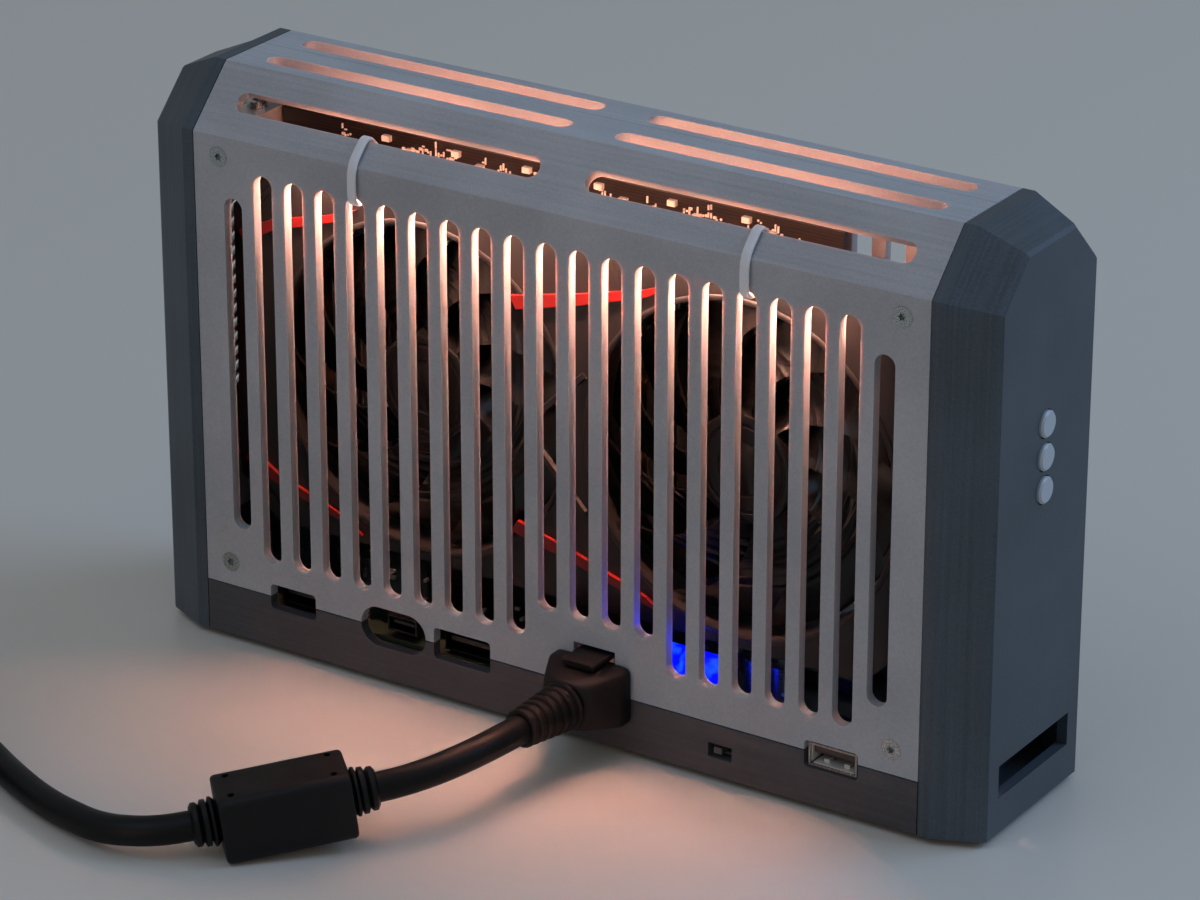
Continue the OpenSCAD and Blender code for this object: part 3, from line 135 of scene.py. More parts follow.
def across(direction, up=Vector((0, 0, 1))):
    """Side and up directions square to a direction."""
    side = direction.cross(up).normalized()
    return side, side.cross(direction).normalized()


def skins(name, lofts, body, finish=None, closed=False):
    """One smooth mesh piece from several lists of rings. It rides on a body."""
    points, faces = [], []
    for rings in lofts:
        base, n = len(points), len(rings[0])
        points += [p for loop in rings for p in loop]
        rows = len(rings)
        for i in range(rows if closed else rows - 1):
            j = (i + 1) % rows
            for k in range(n):
                m = (k + 1) % n
                faces.append((base + i * n + k, base + i * n + m, base + j * n + m, base + j * n + k))
        if not closed:
            faces.append([base + k for k in reversed(range(n))])
            faces.append([base + (rows - 1) * n + k for k in range(n)])
    mesh = bpy.data.meshes.new(name)
    mesh.from_pydata(points, [], faces)
    return as_piece(name, mesh, body, finish)


def as_piece(name, mesh, body, finish):
    """Cleans a mesh's normals, shades it smooth up to sharp edges and puts it on its body."""
    edit = bmesh.new()
    edit.from_mesh(mesh)
    bmesh.ops.recalc_face_normals(edit, faces=edit.faces)
    edit.to_mesh(mesh)
    edit.free()
    for face in mesh.polygons:
        face.use_smooth = True
    mesh.set_sharp_from_angle(angle=crease)
    piece = bpy.data.objects.new(name, mesh)
    bpy.context.scene.collection.objects.link(piece)
    if finish:
        mesh.materials.append(finish)
    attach(piece, body)
    return piece


def small_blocks(name, blocks, edge, body, finish=None):
    """Small blocks with softened edges in one mesh; each is a low and a high corner in millimetres."""
    edit = bmesh.new()
    for low, high in blocks:
        low, high = mm(*low), mm(*high)
        place = Matrix.Translation((low + high) / 2) @ Matrix.Diagonal((*(high - low), 1))
        bmesh.ops.create_cube(edit, size=1, matrix=place)
    bmesh.ops.bevel(edit, geom=list(edit.edges), offset=mm(edge), segments=2, affect="EDGES",
                    profile=0.7)
    mesh = bpy.data.meshes.new(name)
    edit.to_mesh(mesh)
    edit.free()
    return as_piece(name, mesh, body, finish)


print("a ring of", len(section(1, 1, 2)), "points")


# %% [markdown]
# A shader is a small net of nodes. One function adds a node, sets what it is told and links what it is
# given. Another starts each finish: its name, main colour, roughness and metal share, any other fixed
# values of the shader, and the place on the object, in metres, that its patterns are laid out in.

# %% Helpers for finishes
def add_node(tree, kind, inputs=None, **settings):
    """Adds a node; inputs are numbers, colours or other nodes' outputs, and settings its own choices."""
    node = tree.nodes.new(kind)
    for key, value in settings.items():
        setattr(node, key, value)
    for key, value in (inputs or {}).items():
        if isinstance(value, bpy.types.NodeSocket):
            tree.links.new(value, node.inputs[key])
        else:
            node.inputs[key].default_value = value
    return node


def new_finish(name, hex_colour, roughness, metallic=0.0, **constants):
    """A material with its shader set, and the object's own coordinates to lay patterns in."""
    material = bpy.data.materials.new(name)
    material.use_nodes = True
    tree = material.node_tree
    shader = tree.nodes["Principled BSDF"]
    shader.inputs["Base Color"].default_value = linear(hex_colour)
    shader.inputs["Roughness"].default_value = roughness
    shader.inputs["Metallic"].default_value = metallic
    for key, value in constants.items():
        shader.inputs[key.replace("_", " ")].default_value = value
    place = add_node(tree, "ShaderNodeTexCoord").outputs["Object"]
    return material, tree, shader, place


def grain(tree, place, size, detail=3.0):
    """Noise with grains of a size in millimetres; three sizes stretch it along the axes."""
    sizes = size if isinstance(size, tuple) else (size, size, size)
    scaled = add_node(tree, "ShaderNodeMapping",
                      {"Vector": place, "Scale": [1000 / s for s in sizes]})
    return add_node(tree, "ShaderNodeTexNoise",
                    {"Vector": scaled.outputs[0], "Scale": 1.0, "Detail": detail}).outputs[0]


def between(tree, share, low, high, share_low=0.3, share_high=0.7):
    """Colours or numbers mixed by a share that runs between two values."""
    if isinstance(low, str):
        ramp = add_node(tree, "ShaderNodeValToRGB", {"Fac": share})
        for mark, at, colour in zip(ramp.color_ramp.elements, (share_low, share_high), (low, high)):
            mark.position, mark.color = at, linear(colour)
        return ramp.outputs[0]
    return add_node(tree, "ShaderNodeMapRange",
                    {"Value": share, "From Min": share_low, "From Max": share_high,
                     "To Min": low, "To Max": high}).outputs[0]


def raise_by(tree, shader, height, depth):
    """Bump from a height field, with the real depth in millimetres."""
    bump = add_node(tree, "ShaderNodeBump", {"Height": height, "Distance": mm(depth)})
    tree.links.new(bump.outputs[0], shader.inputs["Normal"])


def maths(tree, operation, first, second):
    """One step of arithmetic on numbers or other nodes' outputs."""
    return add_node(tree, "ShaderNodeMath", {0: first, 1: second}, operation=operation).outputs[0]


def band(tree, value, low, high):
    """1 where a value lies between two limits, else 0."""
    above = maths(tree, "GREATER_THAN", value, low)
    return maths(tree, "MULTIPLY", above, maths(tree, "LESS_THAN", value, high))


print("finish helpers ready")


# %% [markdown]
# The shell is PLA, printed by a heated nozzle in layers of about 0.2 mm. The layers catch the light as
# fine streaks that run square to the way the part was built up. At 0.3 mm a pixel the true layers are
# too fine to show, so they are drawn about 0.7 mm apart, and longer streaks come from drifts in heat.
# The covers were printed face down on a rough plate, which leaves sand-like grains on the front. PLA is
# not quite opaque: red light travels a few millimetres through it, so the thin ribs glow at their edges.

# %% Printed finishes
def printed(name, dark, light, layer_sizes, roughness, depth=0.05, **constants):
    """PLA in layers: layer_sizes is the streaks' size in millimetres along each axis."""
    material, tree, shader, place = new_finish(name, dark, roughness, **constants)
    streaks = grain(tree, place, layer_sizes, 4.0)
    sand = grain(tree, place, 0.55, 2.0)
    drift = grain(tree, place, 30.0, 2.0)
    relief = maths(tree, "ADD", streaks, sand)
    share = maths(tree, "DIVIDE", maths(tree, "ADD", relief, drift), 3.0)
    tree.links.new(between(tree, share, dark, light, 0.38, 0.62), shader.inputs["Base Color"])
    tree.links.new(between(tree, sand, roughness - 0.06, roughness + 0.1), shader.inputs["Roughness"])
    raise_by(tree, shader, relief, depth)
    return material


silver_print = printed("silver_pla_print", "#a1a4a8", "#b7babe", (60.0, 0.7, 60.0), 0.5, depth=0.06,
                       Subsurface_Weight=0.55, Subsurface_Scale=mm(3.0),
                       Subsurface_Radius=(1.0, 0.5, 0.35))
slate_cap_print = printed("slate_pla_print_caps", "#364149", "#49555f", (0.8, 70.0, 70.0), 0.42)
slate_base_print = printed("slate_pla_print_base", "#37383c", "#484a4f", (90.0, 90.0, 0.8), 0.46)
print("printed finishes:", silver_print.name, slate_cap_print.name, slate_base_print.name)


# %% [markdown]
# Moulded plastics are smoother. Their gloss is broken only by the fine spark texture of the mould, so
# they get a very small grain and a slow drift in roughness from handling. Metals keep their default
# index of refraction and get the direction of their brushing, rolling or plating instead. The tin liner
# and the zinc-plated bracket look dull, so they take the soft grain with only a share of metal.

# %% Moulded and metal finishes
def moulded(name, hex_colour, roughness, grit=0.4, depth=0.02, **constants):
    """Moulded plastic: a fine spark texture, and roughness that drifts where hands touch it."""
    material, tree, shader, place = new_finish(name, hex_colour, roughness, **constants)
    sand, drift = grain(tree, place, grit, 2.0), grain(tree, place, 12.0, 2.0)
    tree.links.new(between(tree, drift, roughness - 0.05, roughness + 0.08), shader.inputs["Roughness"])
    raise_by(tree, shader, sand, depth)
    return material


def worked_metal(name, dark, light, roughness, line_sizes, depth=0.01):
    """Bare or plated metal with the fine lines that rolling or brushing leaves."""
    material, tree, shader, place = new_finish(name, dark, roughness, 1.0)
    lines = grain(tree, place, line_sizes, 3.0)
    tree.links.new(between(tree, lines, dark, light), shader.inputs["Base Color"])
    tree.links.new(between(tree, lines, roughness - 0.08, roughness + 0.1), shader.inputs["Roughness"])
    raise_by(tree, shader, lines, depth)
    return material


black_moulding = moulded("black_abs_moulding", "#1a1a1c", 0.38)
shroud_moulding = moulded("black_shroud_moulding", "#141212", 0.36, grit=0.5, depth=0.03)
grey_moulding = moulded("grey_nylon_moulding", "#4b4c4f", 0.45)
chip_moulding = moulded("epoxy_chip_moulding", "#202124", 0.5, grit=0.25)
rubber_foot = moulded("black_rubber", "#141414", 0.75, grit=0.8, depth=0.05)
button_white = moulded("white_abs_buttons", "#b6bec4", 0.3, grit=0.6)
bar_white = moulded("white_lamp_strip", "#dcdcd6", 0.4)
fan_black = moulded("black_fan_moulding", "#080808", 0.2, grit=0.6, depth=0.01,
                    Specular_IOR_Level=0.3)
trim_red = moulded("red_painted_trim", "#5e0806", 0.35, grit=0.5, depth=0.01)
nickel_screws = worked_metal("nickel_plated_screws", "#767b79", "#d6dad7", 0.24, 0.3)
plated_ports = worked_metal("nickel_plated_steel", "#a8a9a6", "#c2c2be", 0.32, (0.4, 6.0, 6.0))
fin_metal = worked_metal("bare_aluminium_fins", "#b5b7b8", "#d2d3d3", 0.35, (8.0, 0.3, 8.0))
can_metal = worked_metal("bare_aluminium_cans", "#b9babb", "#cfcfcf", 0.3, (4.0, 4.0, 0.3))
bright_tin = moulded("bright_tin_plate", "#d9d8d0", 0.35, grit=0.6, Metallic=0.3)
bracket_steel = moulded("satin_zinc_plate", "#c6c5c0", 0.45, grit=0.8, Metallic=0.45)
pipe_copper = worked_metal("nickel_washed_copper", "#b5714e", "#d08f6c", 0.3, (0.4, 8.0, 8.0))
print("finishes so far:", len(bpy.data.materials))


# %% [markdown]
# A circuit board is glass fibre in epoxy under a solder mask. Its copper tracks raise the mask a little
# and show paler. Brick rows make tracks that run along the board, and the two coordinates of the
# board's own face lay them out. The ceramic and tin parts that stand on it are pale.

# %% Circuit boards
def circuit_board(name, mask, track, track_axes):
    """Solder mask with tracks; track_axes picks the two coordinates of the board's face."""
    material, tree, shader, place = new_finish(name, mask, 0.32)
    xyz = add_node(tree, "ShaderNodeSeparateXYZ", {0: place}).outputs
    flat = add_node(tree, "ShaderNodeCombineXYZ",
                    {0: xyz[track_axes[0]], 1: xyz[track_axes[1]]}).outputs[0]
    rows = add_node(tree, "ShaderNodeTexBrick",
                    {"Vector": flat, "Color1": (0, 0, 0, 1), "Color2": (0.25, 0.25, 0.25, 1),
                     "Mortar": (1, 1, 1, 1), "Scale": 1.0, "Mortar Size": mm(0.12),
                     "Brick Width": mm(9.0), "Row Height": mm(0.9)}).outputs[0]
    tree.links.new(between(tree, rows, mask, track, 0.1, 0.9), shader.inputs["Base Color"])
    raise_by(tree, shader, rows, 0.04)
    return material


adapter_mask = circuit_board("green_black_solder_mask", "#0a120d", "#18261d", (0, 1))
card_mask = circuit_board("black_solder_mask", "#100e0e", "#241a16", (0, 2))
pale_parts = moulded("ceramic_and_tin_parts", "#e6e2da", 0.35, grit=0.3)
print("boards:", adapter_mask.name, card_mask.name)

# %% [markdown]
# Two things shine by themselves: the row of warm lamps on the light bar and the blue status lamps on the
# adapter board, under their frosted guide. Their faces emit, and area lamps of the scene beside them
# carry the light into the shell without noise. The cable ties are nylon, which lets some light through.

# %% Lamps and nylon
lamp_warm = moulded("warm_lamp_glass", "#ffdcae", 0.3, Emission_Color=linear("#ffd0ac"),
                    Emission_Strength=5.0)
blue_glow = moulded("blue_lamp_resin", "#2a48ff", 0.3, Emission_Color=linear("#1626ff"),
                    Emission_Strength=5.0)
tie_nylon = moulded("natural_nylon", "#ececee", 0.3, grit=0.7, IOR=1.53, Subsurface_Weight=0.6,
                    Subsurface_Scale=mm(4.0), Subsurface_Radius=(1.0, 0.8, 0.7))
blue_guide = moulded("frosted_acrylic_guide", "#2030ff", 0.4, Emission_Strength=1.6)
guide_tree = blue_guide.node_tree
cloud = grain(guide_tree, guide_tree.nodes["Texture Coordinate"].outputs["Object"], 4.0)
guide_tree.links.new(between(guide_tree, cloud, "#0006d8", "#1c5cff", 0.45, 0.75),
                     guide_tree.nodes["Principled BSDF"].inputs["Emission Color"])
print("shining finishes:", lamp_warm.name, blue_glow.name, blue_guide.name)


# %% [markdown]
# A socket's shell is plated steel, dark on the host sockets and bright on the USB socket, but the tongue
# inside is moulded. The CAD socket is one node with one slot, so its finish tells the two apart by
# place: what lies well inside the shell is tongue.

# %% Sockets with tongues
def socket_finish(name, steel_dark, steel_light, tongue_hex, boxes):
    """Plated steel outside and moulded plastic in the given boxes, which are in millimetres."""
    material, tree, shader, place = new_finish(name, steel_dark, 0.35)
    xyz = add_node(tree, "ShaderNodeSeparateXYZ", {0: place}).outputs
    inside = None
    for low, high in boxes:
        here = None
        for axis in range(3):
            one = band(tree, xyz[axis], mm(low[axis]), mm(high[axis]))
            here = one if here is None else maths(tree, "MULTIPLY", here, one)
        inside = here if inside is None else maths(tree, "MAXIMUM", inside, here)
    lines = grain(tree, place, (0.4, 5.0, 5.0), 3.0)
    shell = between(tree, lines, steel_dark, steel_light)
    both = add_node(tree, "ShaderNodeMix", {"Factor": inside, 6: shell, 7: linear(tongue_hex)},
                    data_type="RGBA").outputs[2]
    tree.links.new(both, shader.inputs["Base Color"])
    tree.links.new(maths(tree, "SUBTRACT", 1.0, inside), shader.inputs["Metallic"])
    raise_by(tree, shader, lines, 0.01)
    return material


host_ports = socket_finish("plated_sockets_with_black_tongue", "#222223", "#343435", "#0e0e0e", [
    ((-89.2, -24.8, 16.3), (-77.6, -13, 18.1)),
    ((-53.8, -24.8, 16.5), (-46.2, -13, 17.9)),
    ((-34.9, -24.8, 16.2), (-20.1, -13, 18.2))])
usb_finish = socket_finish("plated_socket_with_grey_tongue", "#7f807e", "#a9aaa6", "#232326", [
    ((80.6, -28.6, 15.6), (93.4, -13.6, 18.5)), ((80.6, -20.0, 12.9), (93.4, -13.6, 18.9))])
print("sockets:", host_ports.name, usb_finish.name)

# %% [markdown]
# The record names a slot for every node. Each slot now gets its finish. A few nodes share a slot with
# others but need their own: the base tray, whose layers run level, the two kinds of socket, the shroud
# with its coarser moulding and the bracket with its satin plating.

# %% Finishes on the CAD nodes
finish_of_slot = {
    "dark_print": slate_cap_print, "light_print": silver_print, "foot_rubber": rubber_foot,
    "screw_steel": nickel_screws, "board_green": adapter_mask, "black_plastic": black_moulding,
    "grey_plastic": grey_moulding, "port_metal": plated_ports, "chip_black": chip_moulding,
    "can_aluminium": can_metal, "blue_lamp": blue_glow, "button_white": button_white,
    "card_dark": card_mask, "part_pale": pale_parts, "fin_aluminium": fin_metal,
    "pipe_copper": pipe_copper, "trim_red": trim_red, "fan_black": fan_black, "bar_white": bar_white,
    "lamp_warm": lamp_warm, "tie_nylon": tie_nylon, "lead_black": black_moulding,
}
finish_of_node = {
    "base_tray": slate_base_print, "left_host_port": host_ports, "middle_host_port": host_ports,
    "right_host_port": host_ports, "usb_port": usb_finish, "cooler_shroud": shroud_moulding,
    "card_bracket": bracket_steel,
}
for part in frame["record"]["subparts"]:
    node = frame["nodes"][part["node"]]
    finish = finish_of_node.get(part["node"], finish_of_slot[part["material_slot"]])
    for material_slot in node.material_slots:
        material_slot.material = finish

# %% [markdown]
# The lead is a round 8 mm cable with a soft vinyl jacket. It leaves the plug's relief forwards, passes
# through the choke, sweeps to the left in one bend and is wound up outside the view, as for storage. A
# curve with a round bevel is the simplest true tube. The coil spirals in on the table and out again on
# top of itself, so its two ends come out at its edge.

# %% The lead's route
plug_x, front_y, plug_z = 14.7, -30.0, 18.2
relief_end = Vector((12.8185, -62.2014, plug_z))
near_heading = Vector((-0.10453, -0.99452, 0))
choke_mid = Vector((-20.4, -119.6, 11.4))
choke_axis = Vector((0.70183, 0.70183, 0.12187))
choke_reach = 24.0  # from its middle to the end of a collar
lead_from = Vector((plug_x, front_y, 0))
near_end = choke_mid + choke_axis * choke_reach


def bow(t):
    """The near stretch hangs in a light bow from the relief to the choke."""
    return ((1 - t) ** 3 * relief_end + 3 * t * (1 - t) ** 2 * (relief_end + 15 * near_heading)
            + 3 * t * t * (1 - t) * (near_end + 15 * choke_axis) + t ** 3 * near_end)


coil_mid = lead_from + Vector((-188, -119.2, 0))
coil_from, coil_to = math.radians(62), math.radians(1260)
coil_r, coil_step, lead_z = 49.5, 8.9, 4.1  # outer radius, pitch, height of the lead's middle
turns = (coil_to - coil_from) / (2 * math.pi)


def coil_point(s):
    """A point s turns along the coil: inwards on the lower layer, outwards on the upper one."""
    radius = coil_r - coil_step * min(s, turns - s)
    lift = coil_step * max(0, min(1, 2 * (s - turns / 2) + 0.5))
    angle = coil_from + 2 * math.pi * s
    return coil_mid + Vector((radius * math.cos(angle), radius * math.sin(angle), lead_z + lift))


coil_count = math.ceil(turns * 24)  # 24 points a turn
coil = [coil_point(turns * i / coil_count) for i in range(coil_count + 1)]
coil_in = Vector((-math.sin(coil_from), math.cos(coil_from), 0))
coil_out = Vector((-math.sin(coil_to), math.cos(coil_to), 0))
far_offsets = [(-57.9, -111, 7.5), (-65, -114, 6.6), (-74, -115, 5.5), (-85, -113, 4.6),
               (-97, -109.6, 4.2), (-113, -103, 4.1), (-130, -94.3, 4.1), (-144, -87, 4.1)]
tail_offsets = [(-238.1, -136, 12.2), (-239, -145, 10.6), (-240.4, -154, 9.1), (-241.7, -162, 8.4)]
route = ([bow(i / 8) for i in range(9)] + [choke_mid - choke_axis * choke_reach]
         + [lead_from + Vector(p) for p in far_offsets] + [coil[0] - 8 * coil_in] + coil
         + [coil[-1] + 8 * coil_out] + [lead_from + Vector(p) for p in tail_offsets])

# %% [markdown]
# The jacket is soft vinyl: black, with a satin gloss and a faint unevenness from the die it was drawn
# through. The curve's handles are set to automatic, so it runs smoothly through every point.

# %% The lead
vinyl = moulded("black_vinyl_jacket", "#040405", 0.45, grit=1.2, Specular_IOR_Level=0.25)
plug_vinyl = moulded("black_vinyl_moulding", "#050506", 0.5, grit=0.5, depth=0.04,
                     Specular_IOR_Level=0.3)
line = bpy.data.curves.new("power_lead", "CURVE")
line.dimensions = "3D"
line.bevel_depth = mm(4.0)  # the radius
line.bevel_resolution = 6
line.resolution_u = 4
spline = line.splines.new("BEZIER")
spline.bezier_points.add(len(route) - 1)
for knot, point in zip(spline.bezier_points, route):
    knot.co = point / 1000
    knot.handle_left_type = knot.handle_right_type = "AUTO"
line.materials.append(vinyl)
lead = bpy.data.objects.new("power_lead", line)
bpy.context.scene.collection.objects.link(lead)
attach(lead, "chassis")
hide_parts("lead_near", "lead_far", "lead_coil", "lead_tail")


# %% [markdown]
# The plug is moulded round the end of the lead. A flat-sided hood draws in to a round neck, and a ribbed
# relief lets the lead bend without a kink. Hood, thumb bar and ribs are lofts that overlap in one piece.
# The choke is a block round a ferrite core, with a grooved collar at each end and four pin pits, which
# the mould leaves where pins held the core. The far connector is a second plug of the same kind.

# %% Plug, choke and far connector
def ribbed(start, direction, long, wide, narrow, ribs, rib=1.5):
    """A tapered core with rings round it, from a wide start to a narrow end."""
    side, up = across(direction)
    lofts = [[ring(start + direction * mm(long * t), side, up, section(w - 1.6, w - 1.6, 2, 24))
              for t, w in ((0, wide), (1, narrow))]]
    for i in range(ribs):
        at = i * (long - rib) / (ribs - 1)
        d = wide - (wide - narrow) * i / (ribs - 1)
        bulge = ((0, d - 1.2), (0.2, d - 0.2), (0.5, d), (0.8, d - 0.2), (1, d - 1.2))
        lofts.append([ring(start + direction * mm(at + rib * t), side, up, section(w, w, 2, 24))
                      for t, w in bulge])
    return lofts


def carve(piece, lofts):
    """Cuts the space of some lofts out of a piece and keeps the result as its mesh."""
    cutter = skins("cutter", lofts, "chassis")
    cut = piece.modifiers.new("pits", "BOOLEAN")
    cut.object, cut.operation = cutter, "DIFFERENCE"
    view = bpy.context.evaluated_depsgraph_get()
    piece.data = bpy.data.meshes.new_from_object(piece.evaluated_get(view))
    piece.modifiers.clear()
    piece.data.set_sharp_from_angle(angle=cut_crease)
    bpy.data.objects.remove(cutter)


forward, side_x, up_z = Vector((0, -1, 0)), Vector((1, 0, 0)), Vector((0, 0, 1))
# Each row is a distance from the start, a width, a height and how square the section is.
hood = [(0.0, 22.9, 15.8, 11), (0.3, 23.5, 16.4, 11), (3.4, 23.5, 16.4, 11), (4.6, 22.6, 16.2, 10),
        (7.6, 20.0, 15.6, 8), (10.6, 17.2, 14.9, 6), (12.8, 15.0, 14.3, 4), (13.7, 14.0, 13.8, 2.6),
        (14.0, 13.2, 13.2, 2)]
thumb_bar = ((-38.2, 9.0, 1.6), (-37.6, 10, 2.2), (-30.4, 10, 2.2), (-27.2, 10, 2.2))
thumb_z = 27.3
tongue = section(18.2, 9.4, 12)
plug_base = mm(plug_x, -30.3, plug_z)
plug_lofts = [[ring(plug_base + forward * mm(d), side_x, up_z, section(w, h, q)) for d, w, h, q in hood],
              [ring(mm(plug_x, y, thumb_z), side_x, up_z, section(w, h, 5)) for y, w, h in thumb_bar],
              [ring(mm(plug_x, y, plug_z), side_x, up_z, tongue) for y in (-30.4, -24.8)]]
plug_lofts += ribbed(mm(plug_x, -44.3, plug_z), near_heading, 18, 13.6, 10.6, 7)
plug = skins("moulded_plug", plug_lofts, "chassis", plug_vinyl)
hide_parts("power_plug")

side, up = across(choke_axis)
centre = choke_mid / 1000
collar = [(16.9, 10.2), (18.2, 12.9), (18.8, 12.9), (19.3, 9.8), (19.7, 12.2), (20.9, 12.2),
          (21.4, 9.7), (22.2, 11.5), (23.3, 11.5), (24, 9.4)]
collar_lofts = [[ring(centre + choke_axis * mm(end * d), side, up, section(w, w, 2, 28))
                 for d, w in collar] for end in (-1, 1)]
collars = skins("choke_collars", collar_lofts, "chassis", plug_vinyl)
block = [(-17, 17.1), (-16.7, 17.9), (-16.1, 18.4), (16.1, 18.4), (16.7, 17.9), (17, 17.1)]
block_loft = [ring(centre + choke_axis * mm(d), side, up, section(w, w, 8)) for d, w in block]
choke = skins("choke", [block_loft], "chassis", plug_vinyl)
pit = section(1.9, 1.9, 2, 16)
carve(choke, [[ring(centre + choke_axis * mm(u) + side * mm(v) + up * mm(t), side, choke_axis, pit)
               for t in (7.4, 10.0)] for u in (-13.2, 13.2) for v in (-5.4, 5.4)])
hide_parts("choke_block")

tail_way = Vector((-math.sin(math.radians(9)), -math.cos(math.radians(9)), 0))
tail_end = route[-1] / 1000
side, up = across(tail_way)
grip = [(15.2, 13.4, 13.4, 2), (16, 15.5, 13.8, 2.6), (19, 21.4, 15.8, 5), (21, 23, 16.4, 7),
        (38.6, 23, 16.4, 8), (40, 22, 15.6, 8)]
tail_lofts = [[ring(tail_end + tail_way * mm(d), side, up, section(w, h, q)) for d, w, h, q in grip],
              [ring(tail_end + tail_way * mm(d), side, up, tongue) for d in (39.5, 48)]]
tail_lofts += ribbed(tail_end + tail_way * mm(16), -tail_way, 16, 13.6, 10.6, 6)
far_plug = skins("far_connector_moulding", tail_lofts, "chassis", plug_vinyl)
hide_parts("far_connector")
print("pieces on the lead:", plug.name, choke.name, far_plug.name)


# %% [markdown]
# Each fan is moulded in one piece: a cup that holds the magnet, and eleven swept blades with fine ribs
# that follow the turning circle. The ribs are real ridges here, because they draw the bright arcs that
# the warm lamps make. A blade is a loft from root to tip of a thin section that leans and sweeps back.

# %% Fans
left_axis, right_axis, fan_z = -46.2, 52.6, 85.0
blade_count, root_radius, blade_reach = 11, 14.4, 29.7
front_limit, back_limit = -18.55, -10.25  # the CAD fan's depth, which no blade leaves


def turned(axis_x, profile, count=64):
    """Rings round a fan's axis, which runs along Y, from pairs of radius and depth."""
    return [[mm(axis_x + r * math.cos(a), y, fan_z + r * math.sin(a))
             for a in (2 * math.pi * k / count for k in range(count))] for r, y in profile]


def fan_blade(axis_x, start, rows=60, chord=7):
    """One blade: thin closed sections from root to tip, with a fine rib every 3 mm near the hub."""
    rings = []
    for i in range(rows):
        t = i / (rows - 1)
        r = root_radius + blade_reach * t
        rib = -0.35 * max(0, math.sin(2 * math.pi * r / 3.0)) ** 3 if 19 < r < 35 else 0
        sweep = start - 0.62 * t ** 1.3
        width = 0.50 + 0.06 * t
        front, back = [], []
        for k in range(chord + 1):
            s = k / chord
            a = sweep + width * (s - 0.5)
            y = -17.9 + 6.6 * s + 1.2 * math.sin(math.pi * s) * (0.6 + 0.4 * t) - 0.5 * t
            for side_of, off in ((front, rib), (back, 1.0)):
                depth = min(max(y + off, front_limit), back_limit)
                side_of.append(mm(axis_x + r * math.cos(a), depth, fan_z + r * math.sin(a)))
        rings.append(front + back[::-1])
    return rings


def make_fan(name, body, axis_x):
    """Hub and blades as one piece that replaces the plain CAD fan."""
    hub = turned(axis_x, [
        (0.2, -18.25), (6.6, -18.25), (6.9, -18.05), (7.5, -18.05), (7.8, -18.3), (11.4, -18.35),
        (11.7, -18.1), (12.2, -18.1), (12.5, -18.4), (14.2, -18.55), (14.8, -18.3), (15.0, -17.9),
        (15.0, -10.4), (13.7, -10.3), (13.6, -17.0), (0.2, -17.1)])
    blades = [fan_blade(axis_x, 2 * math.pi * i / blade_count) for i in range(blade_count)]
    fan = skins(name + "_moulding", [hub] + blades, body, fan_black)
    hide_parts(name)
    return fan


fans = [make_fan("left_fan", "left_fan_rotor", left_axis),
        make_fan("right_fan", "right_fan_rotor", right_axis)]
print("fan faces:", [len(f.data.polygons) for f in fans])

# %% [markdown]
# The cooler's shroud is more than a plate: a round lip frames each fan, a folded brace stands between
# the fans, and short ribs cross the left corners. Brace and ribs are thin bars, all in one mesh.

# %% Shroud relief
shroud_y = -20.0


def bar(a, b, wide, high):
    """A bar with sloping sides on the shroud's face, from one X, Z point to another."""
    a, b = Vector((a[0], shroud_y, a[1])), Vector((b[0], shroud_y, b[1]))
    way = (b - a).normalized()
    side = way.cross(Vector((0, -1, 0)))
    return [[mm(*(p + side * u + Vector((0, v, 0)))) for u, v in
             ((-wide / 2, 0.2), (-wide / 2 + 0.4, -high), (wide / 2 - 0.4, -high), (wide / 2, 0.2))]
            for p in (a, b)]


bars = [bar((-12, 84), (5.5, 101), 2.2, 1.0), bar((-12, 80), (5.5, 62), 2.2, 1.0),
         bar((-100, 126), (-94, 133), 2.0, 0.8), bar((-100, 46), (-94, 39), 2.0, 0.8)]
skins("shroud_ribs", bars, "chassis", shroud_moulding)
lip = [(46.1, -20.4), (46.4, -20.6), (47.2, -20.6), (47.6, -20.3), (47.6, -19.8), (46.1, -19.8)]
for side_name, cx in (("left", left_axis), ("right", right_axis)):
    skins(side_name + "_opening_lip", [turned(cx, lip)], "chassis", shroud_moulding,
          closed=True)
print("shroud ribs:", len(bars))

# %% [markdown]
# Small ceramic and tin parts crowd the upper edge of the card and the adapter board. They are far too
# many to name, so a seeded draw places them, always in the same way. A frosted guide stands over the
# blue lamps and carries their light up to where the grille shows it. Thin blocks line the USB socket
# and make its two lower springs.

# %% Parts on the boards
draw = random.Random(11)
edge_parts = []
for cluster in range(40):
    x0 = -96 + cluster * 3.9 + draw.uniform(-0.8, 0.8)
    z0 = draw.choice((131.5, 132.8, 134.0, 135.2, 136.6))
    for i in range(draw.randint(3, 7)):
        w, h = draw.choice(((0.4, 1.4), (0.8, 0.4), (0.4, 1.9), (1.0, 0.7), (0.5, 0.5)))
        x, z = x0 + 0.85 * (i % 4), z0 + draw.uniform(-0.3, 0.8) + 1.9 * (i // 4)
        edge_parts.append(((x, 14.1, z), (x + w, 14.6, z + h)))
small_blocks("card_edge_components", edge_parts, 0.08, "chassis", pale_parts)
board_top = 12.5
board_parts = []
for i in range(80):
    x, y = draw.uniform(-94, 94), draw.uniform(-12, 9)
    w, d = draw.choice(((1.6, 0.8), (0.8, 1.6), (2.0, 1.2), (3.0, 2.4)))
    board_parts.append(((x, y, board_top), (x + w, y + d, board_top + 0.9)))
small_blocks("adapter_components", board_parts, 0.08, "chassis", pale_parts)
